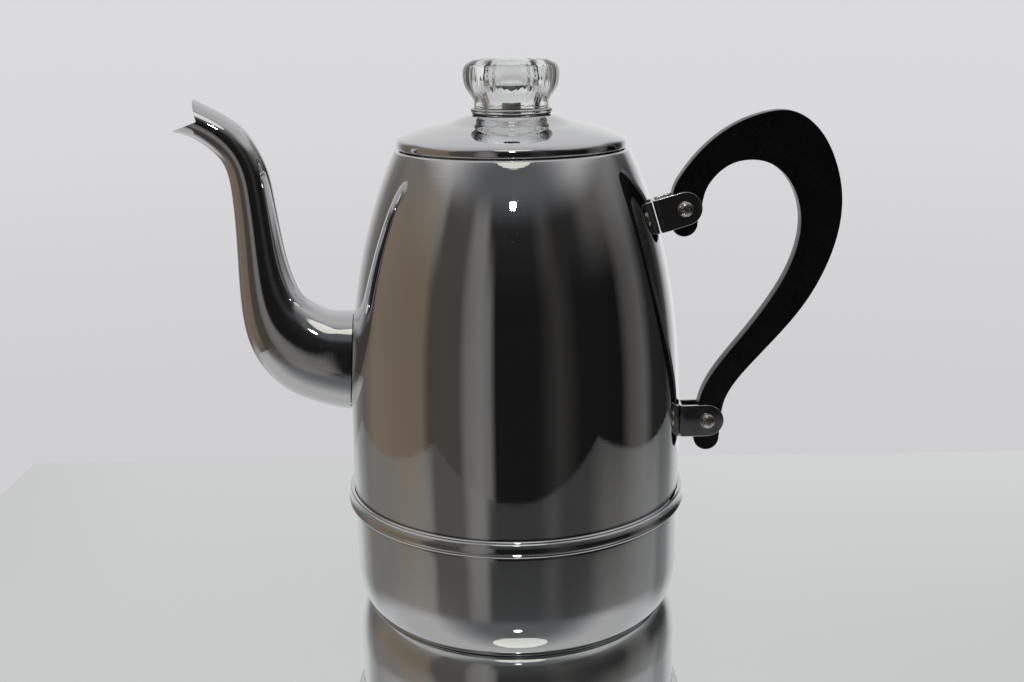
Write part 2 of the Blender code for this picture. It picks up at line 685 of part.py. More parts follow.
def lid_crown(rows):
    """Outside of the lid from the knob's seat to the edge."""
    return smooth_curve([(KNOB_SEAT_RADIUS + (LID_RADIUS - KNOB_SEAT_RADIUS) * out,
                          LID_CROWN_START + LID_RISE * up)
                         for out, up in LID_OUTLINE_SHARES], rows)


def lid_height(radius):
    line = lid_crown(len(LID_OUTLINE_SHARES) ** 2)
    return float(np.interp(radius, line[:, 0], line[:, 1]))


KNOB_SEAT = LID_CROWN_START + LID_RISE
KNOB_BASE = KNOB_SEAT + FIT_GAP + KNOB_WASHER_THICKNESS + FIT_GAP
SKIRT_RADIUS = MOUTH_RADIUS - SLIDE_GAP


def lid_shell():
    """Crown, rolled edge and the hem over the pot's crest, with a bayonet hole."""
    seat = [(LID_HOLE_RADIUS, KNOB_SEAT)]
    crown = [tuple(p) for p in lid_crown(LID_ROWS)]
    edge = arc((LID_RADIUS - LID_EDGE_ROUND, LID_CROWN_START), LID_EDGE_ROUND, 0, -90, 2)
    hem = [(SKIRT_RADIUS + FIT_GAP, LID_SEAT)]
    line = seat + crown + edge[1:] + hem
    piece = add_piece("lid_shell", turned(sheet_outline(line, -LID_WALL), LID_SIDES),
                      polished("lid_shell"))
    slots = []
    for side in (0, 1):
        reach = LID_HOLE_RADIUS + LUG_REACH + FIT_GAP
        outline = [(LID_HOLE_RADIUS / 2, KNOB_SEAT - OVERRUN), (reach, KNOB_SEAT - OVERRUN),
                   (reach, KNOB_SEAT + OVERRUN), (LID_HOLE_RADIUS / 2, KNOB_SEAT + OVERRUN)]
        width = LUG_ANGLE + 2 * LUG_SLACK
        slot = turned(outline, 5, width)
        bmesh.ops.rotate(slot, verts=slot.verts, cent=(0, 0, 0),
                         matrix=Matrix.Rotation(math.pi * (side + 0.5) - width / 2, 3, "Z"))
        slots.append(slot)
    combine(piece, add_cutter("bayonet_cutter", join_shapes(slots)), "DIFFERENCE")


def lid_skirt():
    """The ring under the lid that keeps it centred in the mouth."""
    top = lid_height(SKIRT_RADIUS) - 2 * LID_WALL
    line = [(SKIRT_RADIUS - LID_SKIRT_WALL, LID_SEAT - LID_SKIRT_DEPTH),
            (SKIRT_RADIUS, LID_SEAT - LID_SKIRT_DEPTH + LID_SKIRT_WALL),
            (SKIRT_RADIUS, top)]
    add_piece("lid_skirt", turned(sheet_outline(line, LID_SKIRT_WALL), LID_SIDES),
              polished("lid_skirt"))


def knob_washer():
    low = KNOB_SEAT + FIT_GAP
    high = low + KNOB_WASHER_THICKNESS
    outline = [(LID_HOLE_RADIUS, low), (KNOB_WASHER_RADIUS, low),
               (KNOB_WASHER_RADIUS, high), (LID_HOLE_RADIUS, high)]
    add_piece("knob_washer", turned(outline, LID_SIDES), dark_rubber("knob_washer"))


def knob_outline():
    """Outside of the glass from the top of the neck to just short of the crown."""
    return [(KNOB_NECK_RADIUS + (KNOB_RADIUS - KNOB_NECK_RADIUS) * out,
             KNOB_BASE + KNOB_HEIGHT * up) for out, up in KNOB_OUTLINE_SHARES]


def glass_knob():
    """Fluted bulb on a plain neck and foot, hollow from below, with a plug and two lugs
    that lock under the lid. Sharp ridges stand between the flutes, which fade out at
    the neck and at the crown."""
    top = KNOB_BASE + KNOB_HEIGHT
    plug = LID_HOLE_RADIUS - KNOB_PLUG_GAP
    lug_top = KNOB_SEAT - LID_WALL - FIT_GAP
    plug_end = lug_top - LUG_HEIGHT
    foot_top = KNOB_BASE + KNOB_FOOT_HEIGHT
    bulb = [tuple(p) for p in smooth_curve(knob_outline(), KNOB_ROWS)]
    roof = top - KNOB_CROWN_GLASS
    outline = ([(0.0, top)] + bulb[::-1]
               + [(KNOB_NECK_RADIUS, foot_top), (KNOB_FOOT_RADIUS, foot_top),
                  (KNOB_FOOT_RADIUS, KNOB_BASE), (plug, KNOB_BASE), (plug, plug_end)]
               + [(KNOB_BORE_RADIUS, plug_end), (KNOB_BORE_RADIUS - KNOB_HOLLOW_TAPER, roof),
                  (0.0, roof)])
    shape = turned(outline, KNOB_FLUTES * KNOB_SIDES_PER_FLUTE)
    fluted_from = bulb[0][1]
    fluted_to = bulb[-1][1]
    for vert in shape.verts:
        radius = math.hypot(vert.co.x, vert.co.y)
        up = (vert.co.z - fluted_from) / (fluted_to - fluted_from)
        if 0 < up < 1 and radius > KNOB_NECK_RADIUS:
            angle = math.atan2(vert.co.y, vert.co.x)
            valley = abs(math.sin(KNOB_FLUTES * angle / 2)) * math.sin(math.pi * up)
            keep = (radius - FLUTE_DEPTH * valley) / radius
            vert.co.x *= keep
            vert.co.y *= keep
    piece = add_piece("glass_knob", shape, clear_glass("glass_knob"))
    lugs = []
    for side in (0, 1):
        outline = [(plug - LUG_REACH / 2, plug_end), (plug + LUG_REACH, plug_end),
                   (plug + LUG_REACH, lug_top), (plug - LUG_REACH / 2, lug_top)]
        lug = turned(outline, 4, LUG_ANGLE)
        bmesh.ops.rotate(lug, verts=lug.verts, cent=(0, 0, 0),
                         matrix=Matrix.Rotation(math.pi * side - LUG_ANGLE / 2, 3, "Z"))
        lugs.append(lug)
    combine(piece, add_cutter("knob_lugs", join_shapes(lugs)), "UNION")


# Pump

FLOOR = SHELL_WALL
FOOT_BOTTOM = FLOOR + FIT_GAP
SLEEVE_RADIUS = STEM_RADIUS + FIT_GAP + FOOT_WALL
DOME_BASE = FOOT_BOTTOM + FOOT_SKIRT
SLEEVE_BASE = DOME_BASE + FOOT_DOME_HEIGHT
BASKET_TOP = POT_HEIGHT - BASKET_HANG
BASKET_BOTTOM = BASKET_TOP - BASKET_HEIGHT
STOP_TOP = BASKET_BOTTOM - FIT_GAP
STEM_TOP = KNOB_BASE + STEM_IN_KNOB


def tube_outline(inner, outer, low, high):
    return [(inner, low), (outer, low), (outer, high), (inner, high)]


def pump_stem():
    outline = tube_outline(STEM_RADIUS - STEM_WALL, STEM_RADIUS, SLEEVE_BASE, STEM_TOP)
    add_piece("pump_stem", turned(outline, SMALL_SIDES), spun_aluminium("pump_stem"))


def pump_foot():
    """Bell whose notched edge lets water in and whose sleeve grips the stem."""
    dome = [(SLEEVE_RADIUS + (FOOT_RADIUS - SLEEVE_RADIUS) * math.cos(a),
             DOME_BASE + FOOT_DOME_HEIGHT * math.sin(a))
            for a in np.linspace(0, math.pi / 2, 4)]
    line = [(FOOT_RADIUS, FOOT_BOTTOM)] + dome + [(SLEEVE_RADIUS, SLEEVE_BASE + FOOT_SLEEVE)]
    piece = add_piece("pump_foot", turned(sheet_outline(line, FOOT_WALL), FOOT_SIDES),
                      spun_aluminium("pump_foot"))
    for i in range(FOOT_NOTCH_CUTS):
        cut = stand_up(prism(circle(FOOT_NOTCH_RADIUS, 10, (0.0, FOOT_BOTTOM)),
                             -FOOT_RADIUS - OVERRUN, FOOT_RADIUS + OVERRUN))
        bmesh.ops.rotate(cut, verts=cut.verts, cent=(0, 0, 0),
                         matrix=Matrix.Rotation(math.pi * i / FOOT_NOTCH_CUTS, 3, "Z"))
        combine(piece, add_cutter("notch_cutter_%d" % i, cut), "DIFFERENCE")


PLATE_LOW = DOME_BASE - VALVE_PLATE_THICKNESS - FIT_GAP
PLATE_RADIUS = FOOT_RADIUS - FOOT_WALL - FIT_GAP


def valve_plate():
    """Disc across the bell; its holes are what the loose washer closes."""
    outline = [(0.0, PLATE_LOW), (PLATE_RADIUS, PLATE_LOW),
               (PLATE_RADIUS, PLATE_LOW + VALVE_PLATE_THICKNESS),
               (0.0, PLATE_LOW + VALVE_PLATE_THICKNESS)]
    piece = add_piece("valve_plate", turned(outline, FOOT_SIDES), spun_aluminium("valve_plate"))
    holes = [prism(circle(VALVE_HOLE_RADIUS, 8, circle(VALVE_HOLE_RING, VALVE_HOLES)[i]),
                   PLATE_LOW - OVERRUN, PLATE_LOW + VALVE_PLATE_THICKNESS + OVERRUN)
             for i in range(VALVE_HOLES)]
    combine(piece, add_cutter("valve_hole_cutter", join_shapes(holes)), "DIFFERENCE")


def valve_washer():
    low = PLATE_LOW + VALVE_PLATE_THICKNESS + FIT_GAP
    outline = tube_outline(VALVE_BORE, VALVE_RADIUS, low, low + VALVE_THICKNESS)
    add_piece("valve_washer", turned(outline, FOOT_SIDES), spun_aluminium("valve_washer"))


def stem_stop():
    """Collar pressed on the stem, which carries the basket."""
    low = STOP_TOP - STOP_HEIGHT
    bore = STEM_RADIUS + FIT_GAP
    outline = [(bore, low), (STOP_RADIUS - FIT_GAP, low), (STOP_RADIUS, low + STOP_HEIGHT / 2),
               (STOP_RADIUS, STOP_TOP), (bore, STOP_TOP)]
    add_piece("stem_stop", turned(outline, SMALL_SIDES), spun_aluminium("stem_stop"))


# Basket

BASKET_RIM_RADIUS = MOUTH_RADIUS - BASKET_CLEARANCE
BASKET_RADIUS = BASKET_RIM_RADIUS - BASKET_RIM
TUBE_BORE = STEM_RADIUS + SLIDE_GAP
TUBE_OUTSIDE = TUBE_BORE + BASKET_TUBE_WALL


def perforations(first_radius, low, high):
    """Rings of holes with an even pitch round each ring."""
    holes = []
    for ring in range(PERFORATION_RINGS):
        radius = first_radius + ring * PERFORATION_PITCH
        count = round(2 * math.pi * radius / PERFORATION_SPACING)
        for centre in circle(radius, count, turn=ring * math.pi / count):
            holes.append(prism(circle(PERFORATION_RADIUS, HOLE_SIDES, centre), low, high))
    return join_shapes(holes)


def basket():
    """Drawn cup with a perforated floor, a hole for its tube and a turned-out rim."""
    foot = BASKET_RADIUS - BASKET_TAPER - BASKET_CORNER_ROUND
    corner = arc((foot, BASKET_BOTTOM + BASKET_CORNER_ROUND), BASKET_CORNER_ROUND, -90, 0, 3)
    line = ([(TUBE_OUTSIDE + FIT_GAP, BASKET_BOTTOM)] + corner
            + [(BASKET_RADIUS, BASKET_TOP - BASKET_WALL), (BASKET_RIM_RADIUS, BASKET_TOP - BASKET_WALL)])
    piece = add_piece("basket", turned(sheet_outline(line, BASKET_WALL), BASKET_SIDES),
                      spun_aluminium("basket"))
    low = BASKET_BOTTOM - OVERRUN
    first = TUBE_OUTSIDE + BASKET_TUBE_FLANGE + PERFORATION_RADIUS * 3
    holes = perforations(first, low, BASKET_BOTTOM + OVERRUN)
    combine(piece, add_cutter("basket_hole_cutter", holes), "DIFFERENCE")


def basket_tube():
    """Tube that slides on the stem, with a flange that holds it to the basket's floor."""
    low = BASKET_BOTTOM + BASKET_WALL + FIT_GAP
    flange = low + BASKET_WALL
    outline = [(TUBE_BORE, BASKET_BOTTOM), (TUBE_OUTSIDE, BASKET_BOTTOM), (TUBE_OUTSIDE, low),
               (TUBE_OUTSIDE + BASKET_TUBE_FLANGE, low),
               (TUBE_OUTSIDE + BASKET_TUBE_FLANGE, flange), (TUBE_OUTSIDE, flange),
               (TUBE_OUTSIDE, BASKET_TOP - BASKET_TUBE_SHORT),
               (TUBE_BORE, BASKET_TOP - BASKET_TUBE_SHORT)]
    add_piece("basket_tube", turned(outline, SMALL_SIDES), spun_aluminium("basket_tube"))


def basket_cover():
    """Perforated spreader: a sunk floor, a rim on the basket's rim, and a collar that
    guides it on the stem."""
    rest = BASKET_TOP + FIT_GAP
    floor = rest - COVER_SINK
    inside = BASKET_RADIUS - BASKET_WALL - SLIDE_GAP
    wall_foot = inside - COVER_SLOPE
    line = [(TUBE_BORE, floor + COVER_COLLAR_RISE), (TUBE_BORE + COVER_COLLAR_WIDTH / 2,
                                                     floor + COVER_COLLAR_RISE),
            (TUBE_BORE + COVER_COLLAR_WIDTH, floor), (wall_foot, floor), (inside, rest),
            (BASKET_RIM_RADIUS, rest)]
    piece = add_piece("basket_cover", turned(sheet_outline(line, BASKET_WALL), BASKET_SIDES),
                      spun_aluminium("basket_cover"))
    first = TUBE_BORE + COVER_COLLAR_WIDTH + PERFORATION_RADIUS * 3
    holes = perforations(first, floor - OVERRUN, floor + COVER_SINK)
    combine(piece, add_cutter("cover_hole_cutter", holes), "DIFFERENCE")


def carrier(name, height, parent, pieces):
    """An empty on the pot's axis, on which pieces that come off together ride."""
    empty = bpy.data.objects.new(name, None)
    bpy.context.scene.collection.objects.link(empty)
    empty.empty_display_size = LID_RADIUS
    empty.location = (0, 0, height)
    if parent:
        empty.parent = parent
        empty.matrix_parent_inverse = Matrix.Translation((0, 0, -parent["height"]))
    empty["height"] = height
    for piece in pieces:
        bpy.data.objects[piece].parent = empty
        bpy.data.objects[piece].matrix_parent_inverse = Matrix.Translation((0, 0, -height))
    return empty


def stack_pieces():
    """The inner pieces stand on one another: what is above comes out first."""
    pump = carrier("pump_carrier", FOOT_BOTTOM, None,
                   ["pump_stem", "pump_foot", "valve_plate", "stem_stop"])
    carrier("valve_carrier", PLATE_LOW, pump, ["valve_washer"])
    strainer = carrier("basket_carrier", BASKET_BOTTOM, pump, ["basket", "basket_tube"])
    cover = carrier("cover_carrier", BASKET_TOP, strainer, ["basket_cover"])
    lid = carrier("lid_carrier", LID_SEAT, cover, ["lid_shell", "lid_skirt"])
    carrier("knob_carrier", KNOB_SEAT, lid, ["knob_washer", "glass_knob"])


def build():
    clear_scene()
    body_shell()
    base_pan()
    seam_band()
    spout()
    bracket("upper_bracket", BRACKET_HIGH)
    bracket("lower_bracket", BRACKET_LOW)
    handle()
    screw("upper_screw", BRACKET_HIGH)
    screw("lower_screw", BRACKET_LOW)
    nut("upper_nut", BRACKET_HIGH)
    nut("lower_nut", BRACKET_LOW)
    lid_shell()
    lid_skirt()
    knob_washer()
    glass_knob()
    pump_stem()
    pump_foot()
    valve_plate()
    valve_washer()
    stem_stop()
    basket()
    basket_tube()
    basket_cover()
    stack_pieces()


build()
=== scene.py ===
"""Stovetop percolator in polished metal, dressed over its CAD frame.

Metres, +Z up, origin at the centre of the flat base. The spout points along -X, the
handle along +X, and the camera looks along +Y. Every turned piece shares the Z axis.
Each shape is a grid of points worked out as whole numpy arrays and knitted into quads.
"""

import math

import bmesh
import bpy
import numpy as np
from mathutils import Matrix


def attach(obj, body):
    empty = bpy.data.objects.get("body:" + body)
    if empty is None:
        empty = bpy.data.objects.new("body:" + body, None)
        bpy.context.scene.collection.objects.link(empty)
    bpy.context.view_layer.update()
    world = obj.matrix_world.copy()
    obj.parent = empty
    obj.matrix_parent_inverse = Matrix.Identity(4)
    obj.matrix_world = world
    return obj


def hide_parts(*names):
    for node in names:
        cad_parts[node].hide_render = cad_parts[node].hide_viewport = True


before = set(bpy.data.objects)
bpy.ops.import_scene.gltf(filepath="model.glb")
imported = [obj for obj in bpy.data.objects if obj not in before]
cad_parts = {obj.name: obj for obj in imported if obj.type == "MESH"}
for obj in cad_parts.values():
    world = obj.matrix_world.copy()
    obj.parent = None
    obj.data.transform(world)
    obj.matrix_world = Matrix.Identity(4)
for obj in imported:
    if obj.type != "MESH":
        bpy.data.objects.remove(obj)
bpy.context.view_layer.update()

# Pot
POT_HEIGHT = 0.1996
BODY_RADIUS = 0.0720
SHOULDER_DROP = 0.0229
SHELL_WALL = 0.0009
SHOULDER_ROUND = 0.0014
CREST_WIDTH = 0.0023
LIP_ROUND = 0.0012
LIP_DEPTH = 0.0040
PAN_RADIUS = 0.0715
PAN_CORNER_WIDTH = 0.0070
PAN_CORNER_HEIGHT = 0.0200
BAND_BOTTOM = 0.0474
BAND_TOP = 0.0542
JOGGLE_HEIGHT = 0.0022
PAN_NECK_TOP = 0.0554
BAND_LOW_BEAD = (0.07355, 0.00085)
BAND_HIGH_BEAD = (0.07300, 0.00070)
BAND_FACE = ((0.07372, 0.0498), (0.07345, 0.0519))
FIT_GAP = 0.0003

# Spout
SPOUT_REACH = 0.0696
SPOUT_RISE = 0.1343
SPOUT_ROOT_BOTTOM = 0.0862
SPOUT_ROOT_WIDTH = 0.0300
STRAINER_HOLE_RADIUS = 0.0022
STRAINER_PITCH = 0.0070
STRAINER_ROWS = (2, 3, 2)
BAR_OUTSIDE = 0.0030
BAR_INSIDE = 0.0120
BAR_SIDES = 32
SPOUT_WALL = 0.0008
BEAK_DEPTH = 0.0125
BEAK_DROP = 0.0046
BEAK_BOW = 0.0023
BEAK_BOW_HEIGHT = 0.0080
SPOUT_SECTION_SHARES = (
    (-0.154, 0.328, -0.154, -0.008, 1.000),
    (0.003, 0.329, 0.008, 0.000, 1.000),
    (0.112, 0.334, 0.236, 0.029, 0.950),
    (0.232, 0.368, 0.469, 0.098, 0.870),
    (0.289, 0.403, 0.602, 0.201, 0.800),
    (0.335, 0.470, 0.654, 0.335, 0.730),
    (0.370, 0.561, 0.658, 0.510, 0.660),
    (0.407, 0.701, 0.663, 0.690, 0.600),
    (0.453, 0.811, 0.692, 0.791, 0.570),
    (0.534, 0.890, 0.756, 0.840, 0.555),
    (0.646, 0.944, 0.872, 0.884, 0.545),
    (0.817, 0.993, 1.000, 0.904, 0.540),
    (0.974, 1.035, 1.156, 0.925, 0.540),
)

# Brackets, handle and screws
BRACKET_LOW = 0.0794
BRACKET_HIGH = 0.1698
BRACKET_REACH = 0.0125
BRACKET_WIDTH = 0.0144
BRACKET_STRIP = 0.0013
BRACKET_BEND_ROUND = 0.0020
BRACKET_EASE = 0.28 * BRACKET_STRIP
HANDLE_THICKNESS = 0.0066
HANDLE_REACH = 0.0665
HANDLE_END_RADIUS = 0.0055
HANDLE_TAIL_LOW = 0.0084
HANDLE_TAIL_HIGH = 0.0065
HANDLE_EDGE_ROUND = 0.0003
HANDLE_FACE_RING = 0.0004
SCREW_RADIUS = 0.0018
SCREW_HEAD_RADIUS = 0.0032
SCREW_HEAD_HEIGHT = 0.0019
SCREW_HEAD_LIFT = 0.0002
SCREW_END = 0.0008
SCREW_END_EASE = 0.0003
RECESS_HALF_WIDTH = 0.00052
RECESS_WALL = 0.00012
RECESS_ARM = 0.00175
RECESS_ARM_FADE = 0.0006
RECESS_DEPTH = 0.0009
NUT_RADIUS = 0.0038
NUT_THICKNESS = 0.0024
NUT_EASE = 0.0004
NUT_CORNER = 0.0001
HANDLE_OUTER_SHARES = (
    (0.094, 0.005), (0.119, 0.074), (0.193, 0.165), (0.320, 0.265), (0.465, 0.367),
    (0.608, 0.471), (0.742, 0.586), (0.860, 0.720), (0.957, 0.880), (1.000, 1.050),
    (0.978, 1.199), (0.892, 1.341), (0.733, 1.425), (0.540, 1.417), (0.329, 1.357),
    (0.150, 1.265), (0.010, 1.160), (-0.061, 1.081), (-0.078, 1.033),
)
HANDLE_INNER_SHARES = (
    (0.075, 0.946), (0.102, 0.997), (0.140, 1.074), (0.209, 1.140), (0.310, 1.192),
    (0.437, 1.213), (0.559, 1.198), (0.657, 1.141), (0.717, 1.045), (0.725, 0.921),
    (0.682, 0.806), (0.592, 0.680), (0.460, 0.549), (0.280, 0.399), (0.106, 0.260),
    (0.007, 0.161), (-0.052, 0.063),
)

# Lid and knob
LID_RISE = 0.0122
LID_OUTLINE_SHARES = (
    (0.000, 1.000), (0.077, 0.932), (0.160, 0.846), (0.260, 0.750), (0.393, 0.676),
    (0.527, 0.604), (0.660, 0.520), (0.793, 0.424), (0.890, 0.338), (0.950, 0.268),
    (0.982, 0.200), (0.996, 0.115), (1.000, 0.000),
)
LID_OVERHANG = 0.0035
LID_WALL = 0.0008
LID_EDGE_ROUND = 0.0011
LID_HOLE_RADIUS = 0.0120
LID_SEAT_EASE = 0.0004
SKIRT_GAP = 0.0005
SKIRT_DEPTH = 0.0090
SKIRT_WALL = 0.0007
SKIRT_CURL = ((-0.0007, 0.0), (-0.0002, 0.0003), (0.0, 0.0009))
KNOB_SEAT_RADIUS = 0.0182
KNOB_WASHER_RADIUS = 0.0163
KNOB_WASHER_THICKNESS = 0.0004
KNOB_FOOT_RADIUS = 0.0169
KNOB_FOOT_HEIGHT = 0.0015
KNOB_EASE = 0.42 * KNOB_FOOT_HEIGHT
KNOB_NECK_RADIUS = 0.0154
KNOB_RADIUS = 0.0199
KNOB_HEIGHT = 0.02175
KNOB_BORE_RADIUS = 0.0100
KNOB_CROWN_GLASS = 0.0042
KNOB_HOLLOW_SHARES = (
    (1.00, 0.00), (1.00, 0.18), (1.04, 0.36), (1.10, 0.52), (1.06, 0.68), (0.86, 0.84),
    (0.50, 0.96), (0.00, 1.00),
)
KNOB_PLUG_GAP = 0.0004
KNOB_FLUTES = 16
FLUTE_DEPTH = 0.0003
FLUTE_FADE = 0.45
RIB_SHARE = 0.35
KNOB_OUTLINE_SHARES = (
    (0.00, 0.195), (0.24, 0.287), (0.55, 0.380), (0.79, 0.467), (0.96, 0.600),
    (1.00, 0.705), (0.956, 0.789), (0.80, 0.866), (0.46, 0.921), (0.08, 0.960),
)
LUG_REACH = 0.0022
LUG_HEIGHT = 0.0026
LUG_ANGLE = math.radians(40)
LUG_PLAY = math.radians(5)

# Pump, basket and cover
STEM_RADIUS = 0.0040
STEM_WALL = 0.0007
STEM_IN_KNOB = 0.0052
FOOT_RADIUS = 0.0240
FOOT_WALL = 0.0007
FOOT_SKIRT = 0.0056
FOOT_DOME_HEIGHT = 0.0102
FOOT_SLEEVE = 0.0080
FOOT_NOTCH_RADIUS = 0.0021
FOOT_NOTCHES = 6
VALVE_PLATE_THICKNESS = 0.0007
VALVE_HOLES = 6
VALVE_HOLE_RADIUS = 0.0020
VALVE_HOLE_RING = 0.0105
VALVE_RING_HALF = 0.0035
VALVE_RADIUS = 0.0150
VALVE_BORE = 0.0050
VALVE_THICKNESS = 0.0007
STOP_RADIUS = 0.0070
STOP_HEIGHT = 0.0040
BASKET_CLEARANCE = 0.0026
BASKET_HANG = 0.0136
BASKET_HEIGHT = 0.0580
BASKET_WALL = 0.0006
BASKET_RIM = 0.0018
BASKET_RIM_ROUND = 0.0012
BASKET_TAPER = 0.0020
BASKET_CORNER_ROUND = 0.0045
BASKET_TUBE_WALL = 0.0007
BASKET_TUBE_SHORT = 0.0070
BASKET_TUBE_FLANGE = 0.0035
COVER_SINK = 0.0030
COVER_COLLAR_RISE = 0.0045
COVER_COLLAR_WIDTH = 0.0040
COVER_SLOPE = 0.0030
SLIDE_GAP = 0.0005
PERFORATION_RADIUS = 0.0011
PERFORATION_RINGS = 3
PERFORATION_PITCH = 0.0100
PERFORATION_STEP = 6

# Camera, fitted to the pot's round edges in the photograph
CAMERA_PLACE = (-0.0010, -0.5036, 0.2522)
CAMERA_PITCH = math.radians(15.16)
CAMERA_ROLL = math.radians(-0.74)
FOCAL_PIXELS = 1197.6
IMAGE_WIDTH = 1024
SENSOR_WIDTH = 36.0

# Fineness of the turned pieces and of their eased corners
SIDES = 256
BAND_SIDES = 320
SCREW_SIDES = 96
NUT_SIDES = 144
SMALL_SIDES = 128
EASE_STEPS = 5


# Shapes

def unit(vectors):
    """Vectors divided by their lengths."""
    return vectors / np.linalg.norm(vectors, axis=-1, keepdims=True)


def ring_angles(sides):
    """Equal angles, once round."""
    return np.arange(sides) * 2 * np.pi / sides


def smooth_curve(points, count):
    """Natural cubic spline through the points, spaced evenly along their chords."""
    points = np.array(points, float)
    steps = np.linalg.norm(np.diff(points, axis=0), axis=1)
    knots = np.concatenate(([0.0], np.cumsum(steps)))
    size = len(points)
    before, after = steps[:-1, None], steps[1:, None]
    matrix = np.eye(size)
    inner = np.arange(1, size - 1)
    matrix[inner, inner - 1] = steps[:-1]
    matrix[inner, inner] = 2 * (steps[:-1] + steps[1:])
    matrix[inner, inner + 1] = steps[1:]
    right = np.zeros_like(points)
    right[1:-1] = 6 * ((points[2:] - points[1:-1]) / after - (points[1:-1] - points[:-2]) / before)
    bend = np.linalg.solve(matrix, right)
    places = np.linspace(0, knots[-1], count)
    i = np.clip(np.searchsorted(knots, places, side="right") - 1, 0, size - 2)
    span = steps[i][:, None]
    ahead = (places - knots[i])[:, None]
    behind = span - ahead
    return (bend[i] * behind ** 3 / (6 * span) + bend[i + 1] * ahead ** 3 / (6 * span)
            + (points[i] / span - bend[i] * span / 6) * behind
            + (points[i + 1] / span - bend[i + 1] * span / 6) * ahead)


def arc(centre, radius, start, end, steps):
    """Circle stretch: centre plus radius times (cos, sin) of angles in degrees."""
    a = np.radians(np.linspace(start, end, steps + 1))
    return np.column_stack((centre[0] + radius * np.cos(a), centre[1] + radius * np.sin(a)))


def eased(corners):
    """Closed outline with every corner (r, z, ease) replaced by a quadratic bend that
    starts and ends at the ease's distance along the two edges."""
    corners = np.array(corners, float)
    here = corners[:, :2]
    back = np.roll(here, 1, axis=0) - here
    ahead = np.roll(here, -1, axis=0) - here
    back_length = np.linalg.norm(back, axis=1)[:, None]
    ahead_length = np.linalg.norm(ahead, axis=1)[:, None]
    ease = corners[:, 2:3]
    enter = here + back / back_length * np.minimum(ease, back_length * 0.49)
    leave = here + ahead / ahead_length * np.minimum(ease, ahead_length * 0.49)
    t = np.linspace(0, 1, EASE_STEPS + 1)[None, :, None]
    bend = ((1 - t) ** 2 * enter[:, None] + 2 * t * (1 - t) * here[:, None]
            + t ** 2 * leave[:, None])
    return bend.reshape(-1, 2)


def offset(line, distance):
    """The open line moved to its left by a distance, mitred at its corners."""
    along = unit(np.diff(line, axis=0))
    left = np.column_stack((-along[:, 1], along[:, 0]))
    before = np.vstack((left[:1], left))
    after = np.vstack((left, left[-1:]))
    corner = unit(before + after)
    return line + corner * (distance / np.sum(corner * before, axis=1))[:, None]


def sheet(line, wall):
    """Closed outline of a sheet: the line, and the same line offset by the wall."""
    line = np.array(line, float)
    other = offset(line, wall)
    other[line[:, 0] == 0, 0] = 0
    return np.vstack((line, other[::-1]))


def turned(outline, sides=SIDES):
    """Grid of an outline (r, z) turned about Z: (r cos a, r sin a, z) at equal angles a."""
    outline = np.asarray(outline, float)
    a = ring_angles(sides)
    r, z = outline[:, :1], outline[:, 1:2]
    return np.stack((r * np.cos(a), r * np.sin(a), z + 0 * a), axis=-1)


def quads(rows, columns, wrap_rows, wrap_columns, first=0):
    """Corner numbers of the quads between neighbouring grid points."""
    i = np.arange(rows if wrap_rows else rows - 1)[:, None]
    j = np.arange(columns if wrap_columns else columns - 1)[None, :]
    i2, j2 = (i + 1) % rows, (j + 1) % columns
    corners = (i * columns + j, i * columns + j2, i2 * columns + j2, i2 * columns + j)
    return np.stack([c + 0 * i + 0 * j for c in corners], axis=-1).reshape(-1, 4) + first


def closed_mesh(name, points, faces):
    """Mesh with its doubled points merged, so rows that shrink to the axis close there,
    and with its faces turned outwards."""
    mesh = bpy.data.meshes.new(name)
    mesh.from_pydata(np.vstack(points).tolist(), [], faces)
    shape = bmesh.new()
    shape.from_mesh(mesh)
    bmesh.ops.remove_doubles(shape, verts=shape.verts, dist=1e-7)
    bmesh.ops.recalc_face_normals(shape, faces=shape.faces)
    shape.to_mesh(mesh)
    shape.free()
    return mesh


def placed(name, data):
    """A new object in the scene."""
    holder = bpy.data.objects.new(name, data)
    bpy.context.scene.collection.objects.link(holder)
    return holder


def knit(name, grids, body, look, node, caps=(), sharp=None):
    """One closed piece from grids of points (grid, wrap rows, wrap columns). It rides on
    its body and stands for its CAD node."""
    points, faces, first = [], [], 0
    for grid, wrap_rows, wrap_columns in grids:
        rows, columns = grid.shape[:2]
        points.append(grid.reshape(-1, 3))
        faces += quads(rows, columns, wrap_rows, wrap_columns, first).tolist()
        first += rows * columns
    mesh = closed_mesh(name, points, faces + [list(cap) for cap in caps])
    mesh.materials.append(look)
    mesh.shade_smooth()
    if sharp:
        mesh.set_sharp_from_angle(angle=math.radians(sharp))
    piece = placed(name, mesh)
    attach(piece, body)
    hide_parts(node)
    return piece


# Materials

